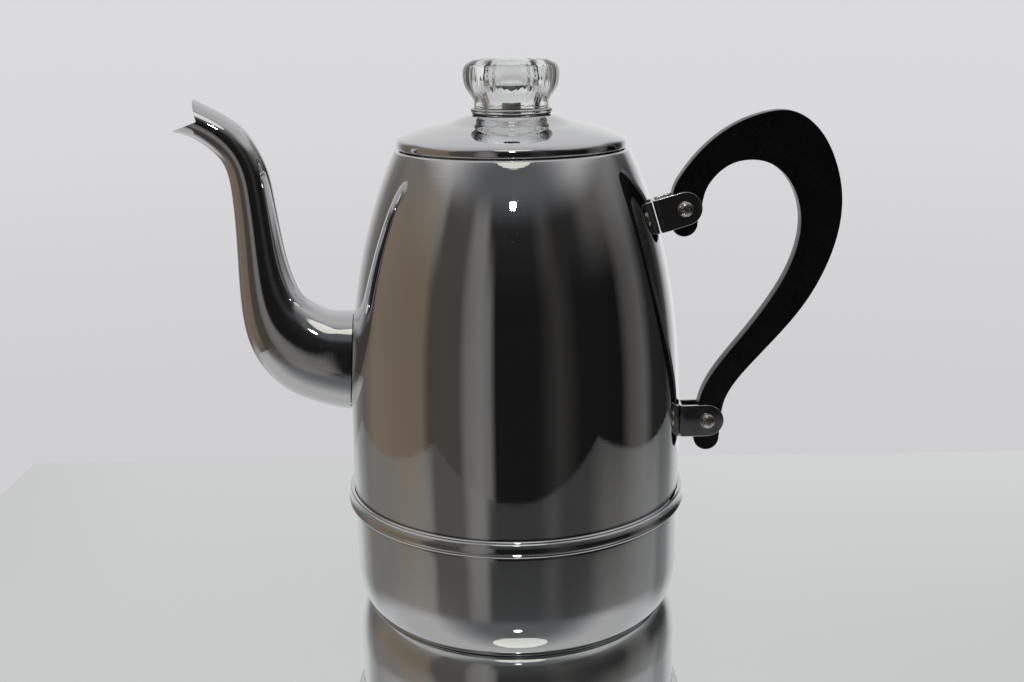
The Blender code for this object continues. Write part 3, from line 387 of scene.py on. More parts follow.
class Nodes:
    """A node tree, with short calls for the nodes that the finishes and the studio
    share. A value is a constant or the output of another node."""

    def __init__(self, tree):
        self.tree = tree

    def set(self, node, **sockets):
        """Constants for a node's sockets, with _ for each space in a socket's name."""
        for label, value in sockets.items():
            node.inputs[label.replace("_", " ")].default_value = value

    def add(self, kind, **sockets):
        node = self.tree.nodes.new(kind)
        self.set(node, **sockets)
        return node

    def join(self, source, target):
        self.tree.links.new(source, target)

    def feed(self, value, socket):
        """A number, a colour of three shares or an output, given to a socket."""
        if isinstance(value, bpy.types.NodeSocket):
            self.join(value, socket)
        else:
            socket.default_value = (*value, 1.0) if isinstance(value, tuple) else value

    def math(self, operation, *values):
        node = self.add("ShaderNodeMath")
        node.operation = operation
        for value, socket in zip(values, node.inputs):
            self.feed(value, socket)
        return node.outputs[0]

    def apart(self, vector):
        """The three shares of a vector."""
        node = self.add("ShaderNodeSeparateXYZ")
        self.join(vector, node.inputs[0])
        return node.outputs

    def ramp(self, value, low, high, out_low=0.0, out_high=1.0, smooth=False):
        """A value's change from one range to another, straight or eased at both ends, and
        kept inside it."""
        node = self.add("ShaderNodeMapRange", From_Min=low, From_Max=high, To_Min=out_low,
                        To_Max=out_high)
        node.interpolation_type = "SMOOTHSTEP" if smooth else "LINEAR"
        self.join(value, node.inputs["Value"])
        return node.outputs["Result"]

    def mix(self, factor, first, second):
        """Colour between a first and a second one."""
        node = self.add("ShaderNodeMix")
        node.data_type = "RGBA"
        self.join(factor, node.inputs["Factor"])
        self.feed(first, node.inputs[6])
        self.feed(second, node.inputs[7])
        return node.outputs[2]


class Look(Nodes):
    """A finish: its colour, roughness and metal, and patterns on Object coordinates."""

    def __init__(self, name, colour, roughness, metallic=0.0, **sockets):
        self.made = bpy.data.materials.new(name)
        self.made.use_nodes = True
        super().__init__(self.made.node_tree)
        self.shader = self.tree.nodes["Principled BSDF"]
        self.set(self.shader, Base_Color=(*colour, 1.0), Roughness=roughness,
                 Metallic=metallic, **sockets)
        self.made.diffuse_color = (*colour, 1.0)
        self.place = self.add("ShaderNodeTexCoord").outputs["Object"]

    def stretch(self, scale):
        """Object coordinates times a scale for each axis."""
        mapping = self.add("ShaderNodeMapping")
        mapping.inputs["Scale"].default_value = scale
        self.join(self.place, mapping.inputs["Vector"])
        return mapping.outputs["Vector"]

    def gather(self, *shares):
        """A vector from up to three shares."""
        node = self.add("ShaderNodeCombineXYZ")
        for value, socket in zip(shares, node.inputs):
            self.join(value, socket)
        return node.outputs[0]

    def rings(self, along, across):
        """Coordinates that change fast with height plus radius and slowly sideways, so
        that noise on them becomes hairlines round the axis."""
        x, y, z = self.apart(self.place)
        length, scaled = (self.add("ShaderNodeVectorMath") for _ in range(2))
        length.operation, scaled.operation = "LENGTH", "SCALE"
        self.join(self.gather(x, y), length.inputs[0])
        total = self.math("ADD", length.outputs["Value"], z)
        fast = self.math("MULTIPLY", total, across / along)
        self.set(scaled, Scale=along)
        self.join(self.gather(x, y, fast), scaled.inputs[0])
        return scaled.outputs[0]

    def noise(self, where, scale, detail=3.0, roughness=0.5):
        """Soft random pattern, with a number of finer layers and their strength."""
        node = self.add("ShaderNodeTexNoise", Scale=scale, Detail=detail, Roughness=roughness)
        self.join(where, node.inputs["Vector"])
        return node.outputs[0]

    def specks(self, scale, size):
        """1 inside small round spots scattered at random, 0 between them."""
        cells = self.add("ShaderNodeTexVoronoi", Scale=scale)
        self.join(self.place, cells.inputs["Vector"])
        return self.ramp(cells.outputs["Distance"], size, size * 0.6)

    def sum(self, first, second, weight=1.0):
        """The first value plus the second times its weight."""
        return self.math("MULTIPLY_ADD", second, weight, first)

    def dull(self, value, low, high, smooth, rough):
        """Roughness that follows a value between two limits."""
        self.roughness(self.ramp(value, low, high, smooth, rough))

    def stain(self, value, low, high, clean, stained):
        """Colour that follows a value between two limits."""
        self.colour(self.mix(self.ramp(value, low, high), clean, stained))

    def colour(self, output):
        self.join(output, self.shader.inputs["Base Color"])

    def roughness(self, output):
        self.join(output, self.shader.inputs["Roughness"])

    def bump(self, output, distance):
        """Relief of a height in metres. The finished material."""
        node = self.add("ShaderNodeBump", Strength=1.0, Distance=distance)
        self.join(output, node.inputs["Height"])
        self.join(node.outputs["Normal"], self.shader.inputs["Normal"])
        return self.made


def polished_shell(name, haze=0.020):
    """Mirror plate: circular hairlines from the polishing wheel, smudges that dull it a
    little in patches, and a few fine pits."""
    look = Look(name, (0.78, 0.78, 0.79), 0.04, 1.0)
    lines = look.noise(look.rings(6.0, 2600.0), 1.0, 2.0)
    smudge = look.noise(look.place, 38.0, 6.0, 0.62)
    pits = look.specks(420.0, 0.075)
    clouds = look.noise(look.place, 14.0, 2.0)
    haze_out = look.ramp(smudge, 0.48, 0.72, haze * 0.55, haze * 2.6)
    look.roughness(look.sum(haze_out, pits, 0.25))
    tone = look.mix(look.ramp(clouds, 0.35, 0.70), (0.80, 0.80, 0.81), (0.74, 0.75, 0.77))
    look.colour(look.mix(pits, tone, (0.30, 0.29, 0.28)))
    return look.bump(look.sum(lines, pits, -0.8), 0.0000045)


def polished_tube(name):
    """Mirror plate of the spout: short scratches in all directions, more pits."""
    look = Look(name, (0.78, 0.78, 0.79), 0.05, 1.0)
    scratch = look.noise(look.stretch((900.0, 900.0, 120.0)), 1.0, 3.0)
    smudge = look.noise(look.place, 60.0, 6.0, 0.65)
    pits = look.specks(520.0, 0.10)
    waves = look.noise(look.place, 55.0, 1.0)
    look.roughness(look.sum(look.ramp(smudge, 0.45, 0.72, 0.025, 0.13), pits, 0.25))
    look.colour(look.mix(pits, (0.79, 0.79, 0.80), (0.28, 0.27, 0.26)))
    return look.bump(look.sum(look.sum(scratch, pits, -1.0), waves, 6.0), 0.0000055)


def plated_strip(name):
    """Flat chromed strip of the brackets, scratched a little by handling."""
    look = Look(name, (0.77, 0.77, 0.78), 0.07, 1.0)
    scratch = look.noise(look.stretch((300.0, 900.0, 2400.0)), 1.0, 3.0)
    look.dull(look.noise(look.place, 160.0, 5.0, 0.6), 0.40, 0.70, 0.05, 0.18)
    return look.bump(scratch, 0.000006)


def spun_aluminium(name):
    """Satin inner parts: spinning rings, a dull tone and faint coffee stains."""
    look = Look(name, (0.70, 0.70, 0.70), 0.34, 1.0)
    lines = look.noise(look.rings(5.0, 1500.0), 1.0, 3.0)
    look.dull(lines, 0.3, 0.7, 0.28, 0.44)
    look.stain(look.noise(look.place, 45.0, 5.0, 0.6), 0.50, 0.75, (0.72, 0.72, 0.72),
               (0.55, 0.49, 0.42))
    return look.bump(lines, 0.00002)


def black_board(name):
    """Satin black board: fine mottled surface, rubbed a little smoother in places."""
    look = Look(name, (0.010, 0.010, 0.010), 0.42, Specular_IOR_Level=0.55)
    look.dull(look.noise(look.place, 70.0, 4.0, 0.55), 0.35, 0.70, 0.34, 0.24)
    look.stain(look.noise(look.place, 800.0, 2.0, 0.5), 0.50, 0.75, (0.008, 0.008, 0.0085),
               (0.020, 0.019, 0.018))
    return look.bump(look.noise(look.place, 1900.0, 4.0, 0.6), 0.00003)


def clear_glass(name):
    """Pressed glass with the slight waves and small bubbles of its mould."""
    look = Look(name, (0.97, 0.98, 0.975), 0.0, 0.0, Transmission_Weight=1.0, IOR=1.5)
    waves = look.noise(look.place, 260.0, 2.0)
    look.dull(waves, 0.3, 0.7, 0.0, 0.02)
    return look.bump(look.sum(waves, look.specks(330.0, 0.10), 0.5), 0.00003)


def dark_rubber(name):
    """Dull dark rubber with a fine grain."""
    look = Look(name, (0.16, 0.155, 0.15), 0.6)
    grain = look.noise(look.place, 1500.0, 3.0)
    look.dull(grain, 0.3, 0.7, 0.5, 0.7)
    return look.bump(grain, 0.00003)


def dull_nickel(name):
    """Screws and nuts: plating gone dull and slightly yellow."""
    look = Look(name, (0.62, 0.59, 0.53), 0.24, 1.0)
    spots = look.noise(look.place, 900.0, 4.0, 0.6)
    look.dull(spots, 0.35, 0.70, 0.16, 0.38)
    look.stain(spots, 0.45, 0.75, (0.66, 0.64, 0.59), (0.42, 0.38, 0.31))
    return look.bump(spots, 0.00002)


# Pot

def barrel(height):
    """Outer radius of the upper shell: straight at the band, drawn in with the cube of
    the height above it."""
    up = np.maximum(np.asarray(height, float) - BAND_TOP, 0.0) / (POT_HEIGHT - BAND_TOP)
    return BODY_RADIUS - SHOULDER_DROP * up ** 3


def tilt(height):
    """Angle by which the wall's outward direction points up, from the barrel's slope."""
    up = max(height - BAND_TOP, 0.0) / (POT_HEIGHT - BAND_TOP)
    return math.atan(3 * SHOULDER_DROP * up ** 2 / (POT_HEIGHT - BAND_TOP))


def shoulder_start():
    """Height where the shoulder's arc takes over from the wall: the top less the round
    times one minus the sine of the tilt there, settled by repeating it."""
    height = POT_HEIGHT - SHOULDER_ROUND
    for _ in range(30):
        height = POT_HEIGHT - SHOULDER_ROUND * (1 - math.sin(tilt(height)))
    return height


SHOULDER = shoulder_start()
CREST_RADIUS = float(barrel(SHOULDER)) - SHOULDER_ROUND * math.cos(tilt(SHOULDER))
MOUTH_RADIUS = CREST_RADIUS - CREST_WIDTH - LIP_ROUND


def make_body_shell():
    """Barrel wall, round shoulder, crest and turned-down lip, as one turned sheet."""
    heights = np.linspace(BAND_TOP, SHOULDER, 70)
    wall = np.column_stack((barrel(heights), heights))
    over = arc((CREST_RADIUS, POT_HEIGHT - SHOULDER_ROUND), SHOULDER_ROUND,
               math.degrees(tilt(SHOULDER)), 90, 12)
    lip = arc((MOUTH_RADIUS + LIP_ROUND, POT_HEIGHT - LIP_ROUND), LIP_ROUND, 90, 180, 10)
    start = [(BODY_RADIUS, BAND_BOTTOM + FIT_GAP), (BODY_RADIUS, (BAND_BOTTOM + BAND_TOP) / 2)]
    line = np.vstack((start, wall, over[1:], lip,
                      [(MOUTH_RADIUS, POT_HEIGHT - LIP_DEPTH)]))
    piece = knit("body_shell_skin", [(turned(sheet(line, SHELL_WALL)), True, True)], "pot",
                 polished_shell("body_plate"), "body_shell")
    cut_strainer(piece)


def cut_strainer(piece):
    """Strainer behind the spout: rows of holes, cut along X by round bars. A bar is two
    rings of points (x, radius times cosine, radius times sine)."""
    middle = SPOUT_ROOT_BOTTOM + SPOUT_RISE * SPOUT_SECTION_SHARES[1][1] / 2
    ends = (-BODY_RADIUS - BAR_OUTSIDE, -BODY_RADIUS + BAR_INSIDE)
    a = ring_angles(BAR_SIDES)
    points, faces = [], []
    for row, count in enumerate(STRAINER_ROWS, -1):
        for column in range(count):
            y = (column - (count - 1) / 2) * STRAINER_PITCH + STRAINER_HOLE_RADIUS * np.cos(a)
            z = (middle + row * STRAINER_PITCH * math.sqrt(3) / 2
                 + STRAINER_HOLE_RADIUS * np.sin(a))
            first = BAR_SIDES * len(points)
            last = first + BAR_SIDES
            points += [np.column_stack((np.full(BAR_SIDES, x), y, z)) for x in ends]
            faces += quads(2, BAR_SIDES, False, True, first).tolist()
            faces += [list(range(start, start + BAR_SIDES)) for start in (first, last)]
    bars = placed("strainer_bars", closed_mesh("strainer_bars", points, faces))
    cut = piece.modifiers.new("strainer", "BOOLEAN")
    cut.operation, cut.solver, cut.object = "DIFFERENCE", "EXACT", bars
    made = bpy.data.meshes.new_from_object(
        piece.evaluated_get(bpy.context.evaluated_depsgraph_get()))
    piece.modifiers.clear()
    piece.data = made
    made.set_sharp_from_angle(angle=math.radians(50))
    bpy.data.objects.remove(bars)


def make_base_pan():
    """Flat base, corner on a quarter ellipse, straight wall, joggle and neck."""
    flat = PAN_RADIUS - PAN_CORNER_WIDTH
    neck = BODY_RADIUS - SHELL_WALL - FIT_GAP
    a = np.linspace(0, np.pi / 2, 40)
    corner = np.column_stack((flat + PAN_CORNER_WIDTH * np.sin(a),
                              PAN_CORNER_HEIGHT * (1 - np.cos(a))))
    rise = np.linspace(0, 1, 9)[1:]
    step = 3 * rise ** 2 - 2 * rise ** 3
    wall_top = BAND_BOTTOM - JOGGLE_HEIGHT
    joggle = np.column_stack((PAN_RADIUS + (neck - PAN_RADIUS) * step,
                              wall_top + JOGGLE_HEIGHT * rise))
    flat_rings = np.column_stack((np.linspace(0, flat, 12)[:-1], np.zeros(11)))
    wall = np.column_stack((np.full(8, PAN_RADIUS),
                            np.linspace(PAN_CORNER_HEIGHT, wall_top, 9)[1:]))
    line = np.vstack((flat_rings, corner, wall, joggle, [(neck, PAN_NECK_TOP)]))
    outline = sheet(line, SHELL_WALL)
    knit("base_pan_skin", [(turned(outline), False, True)], "pot",
         polished_shell("pan_plate"), "base_pan")


def make_seam_band():
    """Band with a bead along each edge and a slightly hollow face between them."""
    inner = BODY_RADIUS + FIT_GAP
    (low_reach, low_bead), (high_reach, high_bead) = BAND_LOW_BEAD, BAND_HIGH_BEAD
    low = arc((low_reach, BAND_BOTTOM + low_bead), low_bead, -90, 50, 9)
    high = arc((high_reach, BAND_TOP - high_bead), high_bead, -45, 90, 9)
    face = smooth_curve([low[-1], *BAND_FACE, high[0]], 9)[1:-1]
    outline = np.vstack(([(inner, BAND_TOP), (inner, BAND_BOTTOM)], low, face, high))
    knit("seam_band_skin", [(turned(outline, BAND_SIDES), True, True)], "pot",
         polished_shell("band_plate"), "seam_band", sharp=40)


# Spout

def spout_place(across_share, up_share):
    """Place in the side view, as shares of the spout's reach and rise from its root."""
    return (-(float(barrel(SPOUT_ROOT_BOTTOM)) + SPOUT_REACH * across_share),
            SPOUT_ROOT_BOTTOM + SPOUT_RISE * up_share)


def first_crossing(value):
    """Place, as a share of the rows, where each column first rises through zero."""
    rows = value.shape[0]
    above = value > 0
    row = np.where(above.any(axis=0), above.argmax(axis=0), rows - 1)
    row = np.maximum(row, 1)
    column = np.arange(value.shape[1])
    one, two = value[row - 1, column], value[row, column]
    share = np.clip(one / (one - two + 1e-15), 0, 1)
    return (row - 1 + share) / (rows - 1)


def make_spout():
    """Elliptical sections lofted along the upper and lower edges of the side view. The
    point at angle a is the section's middle plus half its height times cos a and half
    its width times sin a. Each line along the tube starts on the barrel and ends on the
    beak's cut; the inner skin is the outer one moved in by the wall."""
    around, fine, along = 144, 1400, 230
    rows = [(*spout_place(ux, uz), *spout_place(lx, lz), SPOUT_ROOT_WIDTH / 2 * width)
            for ux, uz, lx, lz, width in SPOUT_SECTION_SHARES]
    track = smooth_curve(rows, fine)
    a = ring_angles(around)
    cos, sin = np.cos(a)[None, :], np.sin(a)[None, :]
    ux, uz, lx, lz, half = (track[:, i:i + 1] for i in range(5))
    outer = np.stack(((ux + lx) / 2 + (ux - lx) / 2 * cos, half * sin,
                      (uz + lz) / 2 + (uz - lz) / 2 * cos), axis=-1)
    down = np.gradient(outer, axis=0)
    side = (np.roll(outer, -1, axis=1) - np.roll(outer, 1, axis=1)) / 2
    normal = unit(np.cross(side, down))
    middle = np.stack(((ux + lx) / 2 + 0 * cos, 0 * half * cos, (uz + lz) / 2 + 0 * cos), axis=-1)
    outward = np.sign(np.sum(normal * (outer - middle), axis=-1, keepdims=True))
    inner = outer - normal * outward * SPOUT_WALL
    tip_x, tip_z = spout_place(1.0, SPOUT_SECTION_SHARES[-2][3])
    notch_x, notch_z = tip_x + BEAK_DEPTH, tip_z + BEAK_DROP

    def trimmed(skin):
        """The skin's lines from the barrel to the beak's cut, each in equal steps."""
        x, y, z = skin[..., 0], skin[..., 1], skin[..., 2]
        start = first_crossing(np.hypot(x, y) - barrel(z) - FIT_GAP)
        lower = z - (notch_z + (x - notch_x) * BEAK_DROP / BEAK_DEPTH)
        upper = notch_x - BEAK_BOW * np.clip((z - notch_z) / BEAK_BOW_HEIGHT, 0, 1) - x
        end = first_crossing(np.minimum(lower, upper))
        t = start + (end - start) * np.linspace(0, 1, along)[:, None]
        place = t * (fine - 1)
        i = np.clip(place.astype(int), 0, fine - 2)
        blend = (place - i)[..., None]
        column = np.arange(around)[None, :]
        return skin[i, column] * (1 - blend) + skin[i + 1, column] * blend

    outside, inside = trimmed(outer), trimmed(inner)
    lead = unit(outside[-1] - outside[-2])
    rim = (outside[-1] + inside[-1]) / 2 + lead * SPOUT_WALL * 0.3
    grid = np.concatenate((outside, rim[None], inside[::-1]))
    knit("spout_skin", [(grid, True, True)], "pot", polished_tube("spout_plate"), "spout",
         sharp=50)


# Brackets, handle and screws

CHEEK_INSIDE = HANDLE_THICKNESS / 2 + FIT_GAP
CHEEK_OUTSIDE = CHEEK_INSIDE + BRACKET_STRIP


def screw_place(height):
    """Place of a screw: out from the barrel by the bracket's reach, square to the wall."""
    angle = tilt(height)
    return (float(barrel(height)) + BRACKET_REACH * math.cos(angle),
            height + BRACKET_REACH * math.sin(angle))


def make_bracket(node, height):
    """Strip bent into a U. The path runs out along one cheek, round the back and along
    the other cheek; the section across it is a rounded rectangle whose half width
    shrinks as the square root of r^2 - s^2 past the screw, which makes the round ends."""
    half = BRACKET_WIDTH / 2
    bend = BRACKET_BEND_ROUND - BRACKET_STRIP / 2
    side = (CHEEK_INSIDE + CHEEK_OUTSIDE) / 2
    back = FIT_GAP + BRACKET_STRIP / 2
    tip = BRACKET_REACH + half * np.cos(np.linspace(0, np.pi / 2, 30))
    straight = np.linspace(BRACKET_REACH, back + bend, 8)[1:-1]
    cheek = np.concatenate((tip, straight))
    corner = arc((back + bend, bend - side), bend, -90, -180, 8)
    lower = np.column_stack((cheek, np.full_like(cheek, -side)))
    path = np.vstack((lower, corner))
    path = np.vstack((path, (path * (1, -1))[::-1]))
    along = unit(np.gradient(path, axis=0))
    normal = np.column_stack((along[:, 1], -along[:, 0]))
    past = np.maximum(path[:, 0] - BRACKET_REACH, 0.0)
    width = np.sqrt(np.maximum(half ** 2 - past ** 2, 0.0))
    thick = BRACKET_STRIP / 2
    section = eased([(side, level, BRACKET_EASE) for side, level in
                     ((1, -thick), (1, thick), (-1, thick), (-1, -thick))])
    across = np.sign(section[:, 0])[None, :] * np.maximum(
        width[:, None] - (1 - np.abs(section[:, 0]))[None, :], 0.0)
    deep = section[:, 1][None, :]
    x = path[:, :1] + normal[:, :1] * deep
    y = path[:, 1:] + normal[:, 1:] * deep
    grid = np.stack((x, y, across), axis=-1)
    angle = tilt(height)
    turn = np.array(((math.cos(angle), 0, -math.sin(angle)), (0, 1, 0),
                     (math.sin(angle), 0, math.cos(angle))))
    grid = grid @ turn.T + (float(barrel(height)), 0, height)
    knit(node + "_strip", [(grid, False, True)], "pot", plated_strip(node + "_plate"), node,
         sharp=50)


def handle_place(across_share, up_share):
    """Place in the side view: up the line from screw to screw by one share, and out by
    the other share of the handle's reach."""
    low, high = screw_place(BRACKET_LOW), screw_place(BRACKET_HIGH)
    return (low[0] + (high[0] - low[0]) * up_share + HANDLE_REACH * across_share,
            low[1] + (high[1] - low[1]) * up_share)


def handle_outline():
    """Outer edge, upper round end, inner edge and lower round end, as one loop."""
    low, high = screw_place(BRACKET_LOW), screw_place(BRACKET_HIGH)
    lower = arc((low[0], low[1] - HANDLE_TAIL_LOW), HANDLE_END_RADIUS, 180, 360, 40)
    upper = arc((high[0], high[1] - HANDLE_TAIL_HIGH), HANDLE_END_RADIUS, 180, 360, 40)
    outer = [lower[-1]] + [handle_place(*share) for share in HANDLE_OUTER_SHARES] + [upper[0]]
    inner = [upper[-1]] + [handle_place(*share) for share in HANDLE_INNER_SHARES] + [lower[0]]
    return np.vstack((lower, smooth_curve(outer, 300)[1:-1], upper,
                      smooth_curve(inner, 240)[1:-1]))


def make_handle():
    """Board sawn to its outline. Each row is the outline moved in by an inset, at a
    distance from the middle; the rows follow a rounded edge from face to face."""
    line = handle_outline()
    along = unit(np.roll(line, -1, axis=0) - np.roll(line, 1, axis=0))
    inward = np.column_stack((-along[:, 1], along[:, 0]))
    half = HANDLE_THICKNESS / 2
    a = np.linspace(np.pi / 2, 0, 8)
    inset = HANDLE_EDGE_ROUND * (1 - np.cos(a))
    level = half - HANDLE_EDGE_ROUND + HANDLE_EDGE_ROUND * np.sin(a)
    inset = np.concatenate(([inset[0] + HANDLE_FACE_RING], inset))
    level = np.concatenate(([half], level))
    inset = np.concatenate((inset, inset[::-1]))
    level = np.concatenate((level, -level[::-1]))
    flat = line[None] + inward[None] * inset[:, None, None]
    grid = np.stack((flat[..., 0], level[:, None] + 0 * flat[..., 0], flat[..., 1]), axis=-1)
    count = len(line)
    last = (len(level) - 1) * count
    caps = (range(count), range(last + count - 1, last - 1, -1))
    knit("handle_board", [(grid, False, True)], "pot", black_board("handle_black"), "handle",
         caps=caps)


def laid_along_y(grid, place):
    """A grid made about the Z axis, its Z turned to +Y and moved to a screw."""
    x, y, z = grid[..., 0], grid[..., 1], grid[..., 2]
    return np.stack((x + place[0], z, -y + place[1]), axis=-1)


def make_screw(node, height):
    """Domed head with a cross recess pressed into it, and the shank. The recess is a
    plus sign of slots whose depth fades towards the ends of its arms."""
    under = -(CHEEK_OUTSIDE + FIT_GAP)
    tip = CHEEK_OUTSIDE + FIT_GAP + NUT_THICKNESS + SCREW_END
    radius = np.concatenate((np.linspace(0, 0.9, 40),
                             0.9 + 0.1 * np.sin(np.linspace(0, np.pi / 2, 10)[1:])))
    dome = SCREW_HEAD_HEIGHT * np.sqrt(1 - (radius * 0.92) ** 2)
    head = turned(np.column_stack((radius * SCREW_HEAD_RADIUS, under - dome)), SCREW_SIDES)
    x, y = np.abs(head[..., 0]), np.abs(head[..., 1])
    thin, far = np.minimum(x, y), np.maximum(x, y)
    slot = (np.clip((RECESS_HALF_WIDTH - thin) / RECESS_WALL, 0, 1)
            * np.clip((RECESS_ARM - far) / RECESS_ARM_FADE, 0, 1))
    head[..., 2] += RECESS_DEPTH * slot
    collar = turned([(SCREW_HEAD_RADIUS, under - SCREW_HEAD_LIFT),
                     (SCREW_HEAD_RADIUS * 0.97, under), (SCREW_RADIUS, under),
                     (SCREW_RADIUS, tip - SCREW_END_EASE),
                     (SCREW_RADIUS - SCREW_END_EASE, tip), (0, tip)], SCREW_SIDES)
    grid = laid_along_y(np.concatenate((head, collar)), screw_place(height))
    knit(node + "_nickel", [(grid, False, True)], "pot", dull_nickel(node + "_plating"), node,
         sharp=35)


def make_nut(node, height):
    """Hexagon whose radius is the apothem over the cosine of the angle from the flat's
    middle, cut by a cone at both faces."""
    start = CHEEK_OUTSIDE + FIT_GAP
    bore, face, full = SCREW_RADIUS + FIT_GAP, NUT_RADIUS - NUT_EASE, NUT_RADIUS + NUT_CORNER
    rings = np.array(((bore, 0), (face, 0), (full, NUT_EASE), (full, NUT_THICKNESS - NUT_EASE),
                      (face, NUT_THICKNESS), (bore, NUT_THICKNESS)))
    a = ring_angles(NUT_SIDES)
    hexagon = NUT_RADIUS * math.cos(math.pi / 6) / np.cos(np.mod(a, np.pi / 3) - np.pi / 6)
    r = np.minimum(rings[:, :1], hexagon)
    grid = np.stack((r * np.cos(a), r * np.sin(a), start + rings[:, 1:] + 0 * a), axis=-1)
    knit(node + "_nickel", [(laid_along_y(grid, screw_place(height)), True, True)], "pot",
         dull_nickel(node + "_plating"), node, sharp=25)


# Lid and knob

LID_SEAT = POT_HEIGHT + FIT_GAP
LID_RADIUS = MOUTH_RADIUS + LID_OVERHANG
LID_CROWN_START = LID_SEAT + LID_EDGE_ROUND
SKIRT_RADIUS = MOUTH_RADIUS - SKIRT_GAP
CROWN = smooth_curve([(KNOB_SEAT_RADIUS + (LID_RADIUS - KNOB_SEAT_RADIUS) * out,
                       LID_CROWN_START + LID_RISE * up) for out, up in LID_OUTLINE_SHARES], 90)
KNOB_SEAT = LID_CROWN_START + LID_RISE
KNOB_BASE = KNOB_SEAT + KNOB_WASHER_THICKNESS + 2 * FIT_GAP
PLUG_RADIUS = LID_HOLE_RADIUS - KNOB_PLUG_GAP
LUG_TOP = KNOB_SEAT - LID_WALL - FIT_GAP


def make_lid():
    """Crown, rolled edge and hem; the hole's radius widens over two sectors, the slots
    through which the knob's lugs pass."""
    edge = arc((LID_RADIUS - LID_EDGE_ROUND, LID_CROWN_START), LID_EDGE_ROUND, 0, -90, 8)
    hole = np.linspace(LID_HOLE_RADIUS, KNOB_SEAT_RADIUS - LID_SEAT_EASE, 5)
    seat = np.column_stack((hole, np.full(5, KNOB_SEAT)))
    line = np.vstack((seat, CROWN[1:], edge[1:], [(SKIRT_RADIUS + FIT_GAP, LID_SEAT)]))
    grid = turned(sheet(line, -LID_WALL))
    a = ring_angles(SIDES)
    slot = np.abs(np.mod(a, np.pi) - np.pi / 2) < LUG_ANGLE / 2 + LUG_PLAY
    widened = np.where(slot, LID_HOLE_RADIUS + LUG_REACH + FIT_GAP, LID_HOLE_RADIUS)
    for row in (0, -1):
        grid[row, :, 0], grid[row, :, 1] = widened * np.cos(a), widened * np.sin(a)
    knit("lid_skin", [(grid, True, True)], "lid", polished_shell("lid_plate", 0.05),
         "lid_shell", sharp=50)


def make_lid_skirt():
    """Upright ring under the crown, its lower edge drawn in along a short curve."""
    top = float(np.interp(SKIRT_RADIUS, CROWN[:, 0], CROWN[:, 1])) - 2 * LID_WALL
    low = LID_SEAT - SKIRT_DEPTH
    curl = smooth_curve([(SKIRT_RADIUS + out, low + up) for out, up in SKIRT_CURL], 6)
    line = np.vstack((curl, [(SKIRT_RADIUS, top)]))
    knit("lid_skirt_skin", [(turned(sheet(line, SKIRT_WALL)), True, True)], "lid",
         polished_shell("skirt_plate", 0.08), "lid_skirt", sharp=40)


def make_washer():
    """Flat ring under the glass, rounder at its outer edge."""
    low, high = KNOB_SEAT + FIT_GAP, KNOB_SEAT + FIT_GAP + KNOB_WASHER_THICKNESS
    outline = eased([(LID_HOLE_RADIUS, low, 0.0001), (KNOB_WASHER_RADIUS, low, 0.0003),
                     (KNOB_WASHER_RADIUS, high, 0.0003), (LID_HOLE_RADIUS, high, 0.0001)])
    knit("knob_gasket", [(turned(outline, SMALL_SIDES), True, True)], "knob",
         dark_rubber("gasket_rubber"), "knob_washer", sharp=40)


def knob_outline():
    """Crown, bulb, neck, foot, plug, bore and hollow, from axis to axis; also the rows
    that carry the flutes."""
    top = KNOB_BASE + KNOB_HEIGHT
    plug_end = LUG_TOP - LUG_HEIGHT
    foot_top = KNOB_BASE + KNOB_FOOT_HEIGHT
    roof = top - KNOB_CROWN_GLASS
    bulb = smooth_curve([(KNOB_NECK_RADIUS + (KNOB_RADIUS - KNOB_NECK_RADIUS) * out,
                          KNOB_BASE + KNOB_HEIGHT * up) for out, up in KNOB_OUTLINE_SHARES], 70)
    rim = bulb[-1]
    r = rim[0] * np.sin(np.linspace(0, np.pi / 2, 26))[:-1]
    crown = np.column_stack((r, top - (top - rim[1]) * (r / rim[0]) ** 4))
    ease = KNOB_EASE
    low = eased([(0, foot_top, 0), (KNOB_NECK_RADIUS, bulb[0, 1], 0),
                 (KNOB_NECK_RADIUS, foot_top, ease), (KNOB_FOOT_RADIUS, foot_top, ease),
                 (KNOB_FOOT_RADIUS, KNOB_BASE, ease), (PLUG_RADIUS, KNOB_BASE, ease / 2),
                 (PLUG_RADIUS, plug_end, ease), (KNOB_BORE_RADIUS, plug_end, ease),
                 (0, plug_end, 0)])
    bend = EASE_STEPS + 1
    low = low[2 * bend:-bend]
    hollow = smooth_curve([(KNOB_BORE_RADIUS * out, KNOB_BASE + (roof - KNOB_BASE) * up)
                           for out, up in KNOB_HOLLOW_SHARES], 60)
    outline = np.vstack((crown, bulb[::-1], low, hollow))
    return outline, slice(len(crown) - 6, len(crown) + len(bulb))


